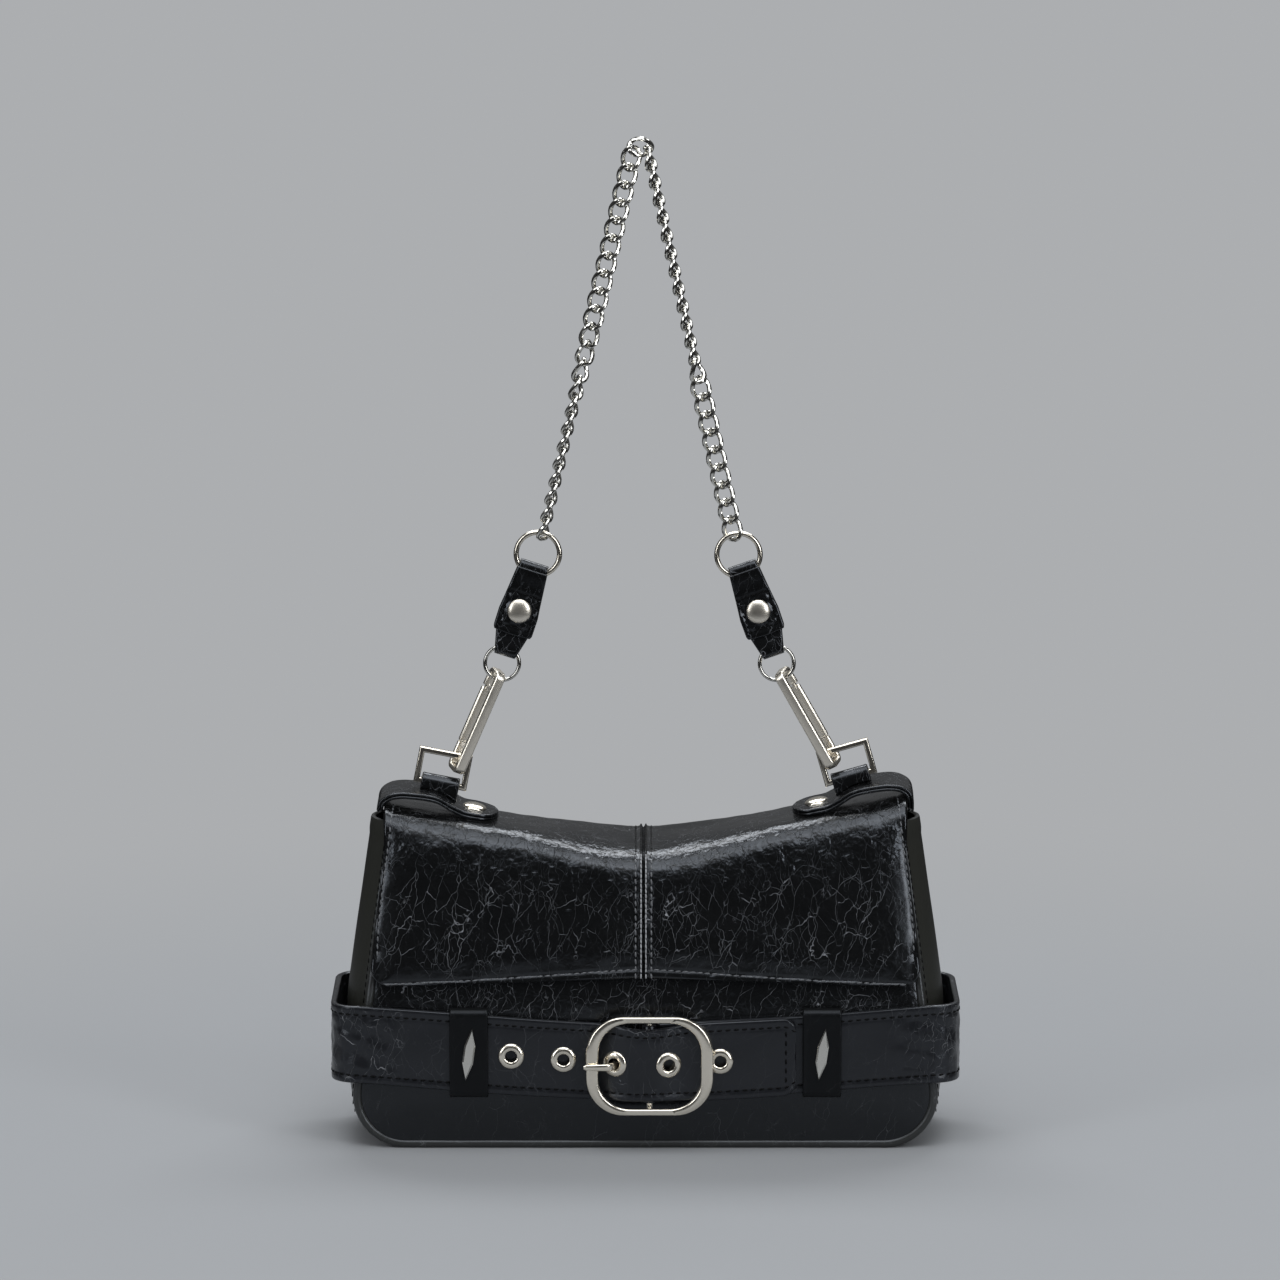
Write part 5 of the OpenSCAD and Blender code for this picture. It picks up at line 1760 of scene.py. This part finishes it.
@dataclass
class Shoulder:
    """One side of the strap: leather strip, ring, clip, round rings and tab."""

    kit: Kit
    side: Side
    strip_l: float = 56
    strip_x: float = 123.6
    strip_w: float = 24
    strip_t: float = 3.0
    strip_lift: float = 0.4
    arch: float = 5.2
    ring_x: float = 94.6
    ring_w: float = 24.8
    ring_h: float = 17.0
    ring_bar: float = 2.7
    loop_w: float = 17.6
    loop_t: float = 1.6
    loop_r: float = 2.209
    yoke_a: float = math.radians(4.634)
    stand: float = 0.8
    clip_turn: float = math.radians(18)
    clip_l: float = 51.5
    clip_d: float = 13.4
    clip_w: float = 5.0
    clip_t: float = 2.7
    clip_sharp: float = math.radians(28)
    head: float = 1.6532
    pin_z: float = -7.3468
    gate_l: float = 26.2
    lower_r: float = 7.85
    lower_wire: float = 0.9
    upper_r: float = 9.95
    upper_wire: float = 1.2
    span: float = 53.565
    tab_l: float = 45.8
    tab_foot: float = 3.578
    tab_lap: float = 12.0
    tab_core: float = 1.55
    shield_t: float = 1.3
    box: tuple[float, float] = (6.9, 8.0)
    rivet_d: float = 11.2

    def __post_init__(self) -> None:
        """Takes the places of this side's joints from the frame."""
        s = self.side.value
        self.tag = self.side.tag
        self.tilt = math.radians(11 if s < 0 else 16)
        self.clip_lean = math.radians(23.5 if s < 0 else 29.5)
        self.tab_lean = math.radians(18 if s < 0 else 19.3)
        foot = joint_place(f"ring_{self.tag}_swing")
        self.plane_y = foot[1]
        self.foot = np.array([foot[0], foot[2]])
        pin = joint_place(f"gate_{self.tag}_turn")
        up = self.lean_dir(self.clip_lean)
        aside = s * (self.clip_d - self.clip_t) / 2 * math.sin(self.clip_turn)
        across = np.array([math.cos(self.clip_lean), s * math.sin(self.clip_lean)])
        self.eye = np.array([pin[0], pin[2]]) - self.pin_z * up - aside * across
        self.low = self.eye + self.lower_r * up
        self.high = self.low + self.span * self.lean_dir(self.tab_lean)
        self.rivet_z = self.tab_foot + 0.49 * self.tab_l

    def lean_dir(self, angle: float) -> Array:
        """Direction in X and Z that leans inwards by an angle."""
        return np.array([-self.side.value * math.sin(angle), math.cos(angle)])

    def at(self, place: Array, lean: float) -> Matrix:
        """Matrix of a local frame: Z up the part, X across it."""
        here = Matrix.Translation((float(place[0]), self.plane_y, float(place[1])))
        return here @ Matrix.Rotation(-self.side.value * lean, 4, "Y")

    def strip_mid(self, x: float) -> float:
        """Height of the yoke's middle under the strip."""
        b = self.kit.body
        return float(b.fold_z(self.side.value * x)) + b.yoke_rise / 2

    def tilted(self) -> Matrix:
        """Turn from upright to the yoke's slope."""
        height = self.strip_mid(self.ring_x)
        pivot = Matrix.Translation((0, self.plane_y, height)) @ Matrix.Rotation(self.yoke_a, 4, "X")
        return pivot @ Matrix.Translation((0, 0, -height))

    def strip_line(self) -> Array:
        """Middle line of the strip in X and Z, from its inner end to the end that turns down."""
        half = self.strip_t / 2
        line = []
        for share, rise in ((0, 0), (0.12, 0), (0.3, 0.02), (0.4, 0.42), (0.48, 0.85), (0.55, 1), (0.66, 1),
                            (0.8, 0.9), (0.9, 0.62)):
            x = self.strip_x - self.strip_l + (self.strip_l - half) * share
            line.append((x, self.strip_mid(x) + self.arch * rise + self.strip_lift + half))
        end = self.strip_mid(self.strip_x)
        line.append((self.strip_x - self.strip_t * 0.9, end + 2.25))
        line.append((self.strip_x - half, end - 0.6))
        line.append((self.strip_x - half, self.kit.body.gusset_h + 4.4))
        return rounded_line(np.array(line), 0.8, 6)

    def strip(self) -> None:
        """Makes the two layers of the strip and the loop that holds the ring."""
        line = self.strip_line()
        tangent = unit(np.gradient(line, axis=0))
        normal = np.stack([-tangent[:, 1], tangent[:, 0]], axis=1)
        run = run_along(line)
        stations = np.unique(np.concatenate([[0, 0.06, 0.25, 0.55, 0.9], run[run > 1.2]]))
        across = edge_stations(2, 22, 0.05) - 1
        for label, rise, thick, inset in (("under", -0.76, 1.46, 0.0), ("over", 0.74, 1.44, 0.35)):
            r = self.strip_w / 2 - inset
            x, z = (np.interp(stations, run, line[:, k] + rise * normal[:, k]) for k in range(2))
            x = self.side.value * (x + inset * (stations < 2))
            round_end = np.sqrt(np.clip(r * r - (r - stations) ** 2, 0.04, None))
            reach = np.where(stations < r, round_end, r)
            grid = moved(xyz(x, across[:, None] * reach, z), self.tilted())
            if self.side is Side.RIGHT:
                grid = grid[::-1]
            edge = (1 - np.abs(across))[:, None] * r * np.ones(len(stations))
            relief = 0.08 * ripple(grid[..., 0], grid[..., 1], 81, 14)
            if label == "over":
                relief = relief - 0.16 * bump(edge, 1.9, 0.45)
            sheet = Hide(f"strip_{label}_{self.tag}", grid, thick, self.kit.paints[Finish.PATENT],
                         relief, 0.7, 0.45).build()
            self.kit.ride(sheet, "bag", *([f"strip_{self.tag}"] if label == "under" else []))
        self.loop()

    def loop(self) -> None:
        """Makes the leather loop round the ring's lower bar."""
        r = self.loop_r + self.loop_t / 2
        across = edge_stations(self.loop_w, 12, 0.7) - self.loop_w / 2
        line = self.strip_line()[:60]
        slope = math.tan(self.yoke_a)
        base = float(np.interp(self.ring_x, line[:, 0], line[:, 1]))
        grid = []
        for a in across:
            out = self.side.value * a
            here = float(np.interp(self.ring_x + out * math.cos(self.tilt), line[:, 0], line[:, 1])) - base
            drop = r + self.stand - (here - out * math.sin(self.tilt)) - 0.25
            arch = np.array(arc2(0, 0, r, 180, 0, 24))
            back = np.stack([np.full(6, -r), np.linspace(-drop - r * slope, 0, 7)[:-1]], axis=1)
            front = np.stack([np.full(6, r), np.linspace(0, -drop + (r + 1.6) * slope, 7)[1:]], axis=1)
            arch = np.concatenate([back, arch, front])
            grid.append(xyz(a, arch[:, 0], arch[:, 1]))
        grid = moved(np.array(grid), self.at(self.foot, self.tilt))
        edge = (self.loop_w / 2 - np.abs(across))[:, None] * np.ones(grid.shape[1])
        relief = 0.12 * (1 - smooth(edge, 1.0, 1.6)) - 0.15 * bump(edge, 1.7, 0.35)
        sheet = Hide(f"ring_loop_leather_{self.tag}", grid, self.loop_t, self.kit.paints[Finish.PATENT],
                     relief, 0.7, 0.35).build()
        self.kit.ride(sheet, "bag", f"ring_loop_{self.tag}")

    def ring(self) -> None:
        """Makes the rectangular ring with chamfered bars."""
        w, h = (self.ring_w - self.ring_bar) / 2, self.ring_h - self.ring_bar
        path = np.array([(-w, 0, 0), (w, 0, 0), (w, 0, h), (-w, 0, h)])
        outs = np.array([(-1, 0, -1), (1, 0, -1), (1, 0, 1), (-1, 0, 1)], float)
        bar = bar_section(self.ring_bar, self.ring_bar, 0.5)
        part = sweep(path, outs, np.tile([0, 1.0, 0], (4, 1)), bar, True)
        obj = joined(f"strap_ring_{self.tag}", [placed(part, self.at(self.foot, self.tilt))],
                     self.kit.paints[Finish.NICKEL], math.radians(20))
        bevel(obj, 0.16)
        self.kit.ride(obj, f"{self.tag}_ring_body", f"ring_{self.tag}")

    def clip(self) -> None:
        """Makes the clip's body, its pin and its gate."""
        m = self.at(self.eye, self.clip_lean) @ Matrix.Rotation(-self.side.value * self.clip_turn, 4, "Z")
        top = self.head + self.clip_t / 2
        low = top - self.clip_l + self.clip_t
        y = self.clip_d / 2 - self.clip_t / 2
        r = 2.2
        gate_end = self.pin_z - self.gate_l
        line = [(y, gate_end - 0.5)]
        line += arc2(y - r, low + r, r, 0, -90, 8) + arc2(r - y, low + r, r, -90, -180, 8)
        line += arc2(r - y, top - r, r, 180, 90, 8) + arc2(y - r, top - r, r, 90, 0, 8)
        line = np.array(line + [(y, self.pin_z + 2.3)])
        path = xyz(0.0, line[:, 0], line[:, 1])
        a, b = path_frame(path, np.array([1.0, 0, 0]))
        thick = self.clip_t * (0.92 + 0.08 * smooth(-path[:, 1], 2.0, 5.2))
        wide = self.clip_w * (1 - 0.10 * smooth(path[:, 2], top - 12, top))
        section = np.array([bar_section(w, t, 0.62) for w, t in zip(wide, thick)])
        lug = bar_section(1.8, self.clip_t, 0.3)
        pin = rod([(0, y, self.pin_z + 3.2), (0, y, self.pin_z - 0.6), (0, y, self.pin_z - 1.3)],
                  (1, 0, 0), (0, 1, 0), np.array([lug, lug, lug * np.array([1, 0.5])]))
        satin = self.kit.paints[Finish.SATIN]
        obj = joined(f"clip_body_{self.tag}", [placed(sweep(path, a, b, section), m), placed(pin, m)], satin,
                     self.clip_sharp)
        bevel(obj, 0.18)
        self.kit.ride(obj, "clips", f"clip_{self.tag}")
        stations = ((self.pin_z + 1.3, 0.9, 0.45), (self.pin_z + 0.6, 0.96, 0.9), (self.pin_z - 3, 1.0, 0.92),
                    (gate_end + 0.8, 1.0, 0.92), (gate_end, 0.95, 0.8))
        full = [bar_section(self.clip_w * w, self.clip_t * t, 0.5) for _, w, t in stations]
        leaf = rod([(0, y, z) for z, _, _ in stations], (1, 0, 0), (0, 1, 0), np.array(full))
        gate = joined(f"clip_gate_{self.tag}", [placed(leaf, m)], satin, self.clip_sharp)
        self.kit.ride(gate, f"{self.tag}_gate_body", f"gate_{self.tag}")

    def round_rings(self) -> None:
        """Makes the two round rings of the tab."""
        m = self.at(self.low, self.tab_lean)
        for radius, wire, up, label, finish in (
                (self.lower_r, self.lower_wire, 0.0, "lower", Finish.STEEL),
                (self.upper_r, self.upper_wire, self.span, "upper", Finish.NICKEL)):
            circle = moved(np.array([(x, 0, z + up) for x, z in arc2(0, 0, radius, 0, 360, 56)[:-1]]), m)
            a, b = path_frame(circle, np.array([0, 1.0, 0]), True)
            part = sweep(circle, a, b, round_section(wire, 16), True)
            obj = joined(f"{label}_ring_wire_{self.tag}", [part], self.kit.paints[finish])
            self.kit.ride(obj, "tabs", f"{label}_ring_{self.tag}")

    def tab(self) -> None:
        """Makes the folded tab, the shields sewn over it, and their stitches."""
        m = self.at(self.low, self.tab_lean)
        foot, head = self.tab_foot, self.tab_foot + self.tab_l
        fold = 2.65
        turn = fold * (1 - np.cos(np.linspace(0, math.pi / 2, 9)))
        z = np.concatenate([foot + turn, np.linspace(foot + fold, head - fold, 44)[1:-1], head - turn[::-1]])
        near = np.minimum(z - foot, head - z)
        deep = np.where(near < fold, np.sqrt(np.clip(fold ** 2 - (fold - near) ** 2, 0, None)), fold)
        pinch = smooth(z, foot + 4, foot + 12) * (1 - smooth(z, head - 12, head - 4))
        deep = deep * (1 - pinch) + np.minimum(deep, self.tab_core) * pinch
        lap = foot + self.tab_lap
        wide = np.interp(z, [foot, foot + 1, lap, lap + 1, foot + 21, head - 3, head],
                         [4.9, 5.1, 7.9, 8.0, 8.3, 6.9, 6.6])
        loops = 40
        t = np.linspace(0, math.tau, loops, endpoint=False)
        cos, sin = np.cos(t), np.sin(t)
        x = wide[:, None] * np.copysign(np.minimum(1, np.abs(cos) ** 0.18), cos)
        y = np.maximum(deep, 0.02)[:, None] * np.copysign(np.abs(sin) ** 0.5, sin)
        height = z[:, None] * np.ones(loops)
        y = y + 0.10 * ripple(x, height, 91, 9) * np.copysign(1, sin) * np.minimum(1, deep)[:, None]
        verts = xyz(x, y, height).reshape(-1, 3)
        faces = grid_faces(len(z), loops, close_cols=True)
        faces += [tuple(range(loops))[::-1], tuple((len(z) - 1) * loops + i for i in range(loops))]
        obj = joined(f"tab_core_{self.tag}", [placed((verts, faces), m)], self.kit.paints[Finish.PATENT],
                     math.radians(50))
        set_mask(obj, "crackle", np.full(len(obj.data.vertices), 0.5))
        self.kit.ride(obj, "tabs", f"tab_{self.tag}")
        rows = [self.shield(m, face) for face in (-1, 1)]
        seam = self.kit.repeats.stitch(f"tab_stitches_{self.tag}", rows, Finish.THREAD, 2.5, 1.8, 0.3)
        self.kit.ride(seam, "tabs")

    def shield(self, m: Matrix, face: int) -> tuple[Array, Array]:
        """Makes one upper layer of the tab.

        Args:
            m: the tab's local frame.
            face: -1 for the front, 1 for the back.

        Returns:
            Points and facings of its row of stitches.
        """
        foot, head = self.tab_foot, self.tab_foot + self.tab_l
        start, end = foot + self.tab_lap - 0.6, head - 3.4
        along = start + edge_stations(end - start, 34, 0.6)
        wide = np.interp(along, [start, start + 1.2, foot + 21, foot + 27, end], [8.6, 9.2, 9.3, 8.6, 7.1])
        v = edge_stations(2, 24, 0.06)[:, None] - 1
        z = along - 0.7 * (1 - v * v) * bump(along, start, 2.0)
        y = self.tab_core + self.shield_t / 2 + 0.9 * smooth(along, head - 13, head - 4)
        grid = xyz(v * wide, face * (y - 0.35 * smooth(np.abs(v), 0.85, 1.0)), z)
        x, up = grid[..., 0], grid[..., 2] - self.rivet_z
        box_x, box_z = self.box
        box = np.maximum(np.abs(x) / box_x, np.abs(up) / box_z)
        relief = 0.22 * (1 - smooth(box, 0.7, 0.95)) - 0.42 * bump(box, 1.0, 0.10)
        relief = relief - 0.35 * bump(np.hypot(x, up), 6.4, 1.0)
        relief = relief + 0.12 * ripple(x, grid[..., 2], 93 + face, 5.5) * (1 - smooth(box, 0.9, 1.3))
        if (grid_normals(grid)[5, 5, 1] > 0) != (face > 0):
            grid, relief = grid[::-1], relief[::-1]
        name = f"tab_shield_{'front' if face < 0 else 'back'}_{self.tag}"
        sheet = Hide(name, moved(grid, m), self.shield_t, self.kit.paints[Finish.PATENT], relief, 0.6,
                     0.22).build()
        self.kit.ride(sheet, "tabs")
        y = face * (self.tab_core + self.shield_t - 0.28)
        corners = [(-box_x, -box_z), (box_x, -box_z), (box_x, box_z), (-box_x, box_z)]
        line = []
        for (x0, z0), (x1, z1) in zip(corners, corners[1:] + corners[:1]):
            for t in np.linspace(0, 1, 8)[:-1]:
                line.append((x0 + (x1 - x0) * t, y, self.rivet_z + z0 + (z1 - z0) * t))
        line.append(line[0])
        facing = np.tile(np.array(m)[:3, :3] @ np.array([0, face, 0]), (len(line), 1))
        return moved(np.array(line), m), facing

    def rivet_spots(self) -> tuple[Matrix, list[Matrix]]:
        """Places of this side's rivet caps: on the strip, and on the tab's two faces."""
        s = self.side.value
        b = self.kit.body
        x = self.strip_x - self.strip_l + self.rivet_d
        slope = math.atan2(float(b.fold_z(s * (x + 3)) - b.fold_z(s * x)), 3)
        top = self.strip_mid(x) + self.strip_lift + self.strip_t
        on_strip = (self.tilted() @ Matrix.Translation((s * x, 0, top)) @ Matrix.Rotation(-s * slope, 4, "Y")
                    @ Matrix.Translation((0, 0, 0.1)))
        m = self.at(self.low, self.tab_lean)
        caps = [m @ Matrix.Translation((0, face * 2.75, self.rivet_z))
                @ Matrix.Rotation(-face * math.pi / 2, 4, "X") for face in (-1, 1)]
        return on_strip, caps

    def build(self) -> None:
        """Makes this side's pieces."""
        self.strip()
        self.ring()
        self.clip()
        self.round_rings()
        self.tab()


def joint_place(name: str) -> Triple:
    """Place of a joint in millimetres."""
    for joint in FRAME["joints"]:
        if joint["name"] == name:
            return tuple(c / MM for c in joint["pos_m"])
    raise KeyError(name)


@dataclass
class Strap:
    """The chain, the rivets of both sides and the pins of the clips."""

    kit: Kit
    left: Shoulder
    right: Shoulder
    count: int = 22
    wire: float = 1.05
    half_l: float = 5.3
    half_w: float = 3.85
    flat: float = 2.35
    bend: float = math.radians(43)
    pitch: float = 8.3
    first: float = 2.55
    lean: float = math.radians(14)
    hook: float = 3.0

    def link(self) -> Part:
        """Makes one curb link: an oval bent from end to end, with flattened faces.

        Returns:
            Points and faces.
        """
        t = np.linspace(0, math.tau, 26, endpoint=False)
        up = self.half_l * np.sign(np.cos(t)) * np.abs(np.cos(t)) ** 0.9
        side = self.half_w * np.sign(np.sin(t)) * np.abs(np.sin(t)) ** 0.8
        turn = self.bend * up / self.half_l
        path = xyz(side * np.cos(turn), side * np.sin(turn), up)
        tangent = unit(np.roll(path, -1, axis=0) - np.roll(path, 1, axis=0))
        across = unit(np.cross(tangent, unit(path * np.array([1, 1, 0.35]))))
        out = unit(np.cross(across, tangent))
        verts, faces = sweep(path, out, across, round_section(self.wire, 10), True)
        verts[:, 1] = np.clip(verts[:, 1], -self.flat, self.flat)
        return verts, faces

    def root(self, side: Shoulder) -> Array:
        """Place in X and Z where the chain hangs in an upper ring."""
        return side.high + side.upper_r * side.lean_dir(self.lean)

    def apex(self) -> Array:
        """Middle of the level link at the top, from the length of the two straight runs."""
        length = self.first + (self.count - 1) * self.pitch + self.half_l
        low, high = self.root(self.left), self.root(self.right)
        gap = high - low - np.array([2 * self.hook, 0])
        up = unit(np.array([-gap[1], gap[0]]))
        return (low + high) / 2 + math.sqrt(length ** 2 - float(gap @ gap) / 4) * up

    def twist(self, side: Shoulder, share: float) -> float:
        """Turn of a link about its strand, at a share of the way up."""
        if side.side is Side.LEFT:
            return math.radians(78 * (1 - smooth(share, 0.30, 0.62)) - 8 * smooth(share, 0.6, 0.9))
        return math.radians(6 + 74 * smooth(share, 0.38, 0.46))

    def run(self, side: Shoulder) -> list[Matrix]:
        """Finds the place and turn of each link on one side.

        Args:
            side: the side.

        Returns:
            One matrix for each link, from the ring up.
        """
        root = self.root(side)
        end = self.apex() + np.array([side.side.value * self.hook, 0])
        direction = unit(end - root)
        lean = Matrix.Rotation(math.atan2(direction[0], direction[1]), 4, "Y")
        spots = []
        for i in range(self.count):
            at = root + (self.first + i * self.pitch) * direction
            twist = Matrix.Rotation(self.twist(side, i / (self.count - 1)), 4, "Z")
            spots.append(Matrix.Translation((at[0], side.plane_y, at[1])) @ lean @ twist)
        return spots

    def build(self) -> None:
        """Makes the chain and the small metal parts."""
        ride, copy_piece, link = self.kit.ride, self.kit.repeats.copy_piece, self.link()
        strips, tabs = [], []
        for side in (self.left, self.right):
            chain = copy_piece(f"curb_chain_{side.tag}", link, self.run(side), Finish.STEEL)
            ride(chain, "chain_body", f"chain_{side.tag}")
            on_strip, on_tab = side.rivet_spots()
            strips.append(on_strip)
            tabs += on_tab
        x, z = self.apex()
        level = Matrix.Translation((x, self.left.plane_y, z)) @ Matrix.Rotation(math.pi / 2, 4, "Y")
        ride(copy_piece("curb_chain_top", link, [level], Finish.STEEL), "chain_body", "chain_top")
        cap = lathe([(0, 1.75), (1.6, 1.68), (3.2, 1.42), (4.4, 1.02), (5.2, 0.55), (5.55, 0.2), (5.6, 0.0),
                     (5.2, -0.15), (0, -0.15)], 44)
        ride(copy_piece("strip_caps", cap, strips, Finish.NICKEL), "bag", "strip_rivets")
        ride(copy_piece("tab_caps", cap, tabs, Finish.SATIN), "tabs", "tab_rivets")
        self.kit.paint(Finish.STEEL, "gate_pins")


# Light, floor and camera.


@dataclass(frozen=True)
class Lamp:
    """One soft rectangular lamp; its lengths are in metres."""

    name: str
    place: Triple
    aim: Triple
    size: tuple[float, float]
    watts: float
    colour: Colour = (0.95, 0.975, 1.0)

    def build(self) -> None:
        """Adds the lamp to the scene."""
        data = bpy.data.lights.new(self.name, "AREA")
        data.shape = "RECTANGLE"
        data.size, data.size_y = self.size
        data.color = self.colour
        data.energy = self.watts
        lamp = bpy.data.objects.new(self.name, data)
        lamp.location = self.place
        lamp.rotation_euler = (Vector(self.aim) - Vector(self.place)).to_track_quat("-Z", "Y").to_euler()
        bpy.context.scene.collection.objects.link(lamp)


LAMPS = (
    Lamp("top_box", (-0.10, -0.40, 1.5), (0, 0, 0.1), (1.6, 1.2), 14),
    Lamp("rear_box", (0.1, 0.9, 1.5), (0, 0, 0.1), (1.8, 0.5), 20),
    Lamp("right_box", (1.2, -1.25, 0.75), (0, 0, 0.12), (0.5, 1.3), 12),
    Lamp("left_box", (-1.35, -1.15, 0.75), (0, 0, 0.12), (0.45, 1.3), 8),
    Lamp("front_fill", (0.1, -1.8, 2.3), (0, 0, 0.15), (1.8, 1.3), 13),
    Lamp("back_wall", (0, 2.6, 0.9), (0, 0, 0.2), (3.6, 1.4), 2),
)


@dataclass
class Studio:
    """Plain studio: grey floor, soft lamps and the camera at the photograph's angle."""

    elevation: float = 10.0
    distance: float = 3.2
    centre_px: float = 645.5
    ground_v: float = 1155.0
    near_y: float = -35.0
    sensor: float = 36
    floor_r: float = 60.0
    grey: Colour = (0.413, 0.423, 0.436)
    floor_share: float = 0.60
    dim_grey: Colour = (0.020, 0.020, 0.021)
    sky: Colour = (0.62, 0.63, 0.65)
    sky_light: float = 0.66
    sky_mirrored: float = 0.07

    def camera(self) -> None:
        """Sets the camera so that a pixel of the photograph is 1/2.2 mm at the bag's front."""
        lift = math.radians(self.elevation)
        x = (PHOTO_SIZE / 2 - self.centre_px) / PHOTO_SCALE
        z = (self.ground_v - PHOTO_SIZE / 2) / PHOTO_SCALE / math.cos(lift)
        data = bpy.data.cameras.new("photo_camera")
        data.sensor_width = self.sensor
        data.lens = self.sensor * self.distance / (PHOTO_SIZE / PHOTO_SCALE * MM)
        data.clip_end = 200
        cam = bpy.data.objects.new("photo_camera", data)
        back = Vector((0, -math.cos(lift), math.sin(lift)))
        cam.location = Vector((x, self.near_y, z)) * MM + back * self.distance
        cam.rotation_euler = (math.pi / 2 - lift, 0, 0)
        bpy.context.scene.collection.objects.link(cam)
        bpy.context.scene.camera = cam

    def floor(self) -> None:
        """Makes a wide grey floor that keeps the bag's shadow."""
        r = self.floor_r
        mesh = bpy.data.meshes.new("floor")
        mesh.from_pydata([(-r, -r, 0), (r, -r, 0), (r, r, 0), (-r, r, 0)], [], [(0, 1, 2, 3)])
        floor = linked("floor", mesh)
        mat, w, shader, place = new_material("FloorGrey", self.grey)
        w.feed(shader, {"Base Color": (*(self.floor_share * c for c in self.grey), 1), "Roughness": 0.9,
                        "Specular IOR Level": 0.1})
        far = w.add("ShaderNodeVectorMath", {0: place}, operation="LENGTH").outputs["Value"]
        ray = w.add("ShaderNodeLightPath").outputs
        seen = shader.outputs[0]
        for colour, near, wide, kind in ((self.grey, 0.25, 0.75, "Is Camera Ray"),
                                         (self.dim_grey, 0.30, 0.58, "Is Glossy Ray")):
            plain = w.add("ShaderNodeEmission", {"Color": (*colour, 1)}).outputs[0]
            share = w.math("MULTIPLY", w.ramp(far, near, wide), ray[kind])
            seen = w.add("ShaderNodeMixShader", {0: share, 1: seen, 2: plain}).outputs[0]
        w.feed(mat.node_tree.nodes["Material Output"], {"Surface": seen})
        mesh.materials.append(mat)

    def light(self) -> None:
        """Sets the world and the lamps."""
        world = bpy.data.worlds.new("studio")
        world.use_nodes = True
        bpy.context.scene.world = world
        w = Wiring(world.node_tree)
        mirrored = w.add("ShaderNodeLightPath").outputs["Is Glossy Ray"]
        strength = w.ramp(mirrored, 0.0, 1.0, self.sky_light, self.sky_mirrored)
        w.feed(world.node_tree.nodes["Background"], {"Color": (*self.sky, 1), "Strength": strength})
        for lamp in LAMPS:
            lamp.build()

    def build(self) -> None:
        """Makes the whole studio."""
        self.camera()
        self.floor()
        self.light()
        bpy.context.scene.view_settings.view_transform = "Standard"


def main() -> None:
    """Builds the studio and the bag, and reports each piece."""
    logging.basicConfig(level=logging.INFO, format="%(name)s: %(message)s")
    FRAME.update(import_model())
    Studio().build()
    paints = Paints()
    kit = Kit(paints, Repeats(paints), Body())
    Shell(kit).build()
    Flap(kit).build()
    Belt(kit).build()
    Buckle(kit).build()
    left, right = Shoulder(kit, Side.LEFT), Shoulder(kit, Side.RIGHT)
    left.build()
    right.build()
    Strap(kit, left, right).build()


if __name__ == "__main__":
    main()
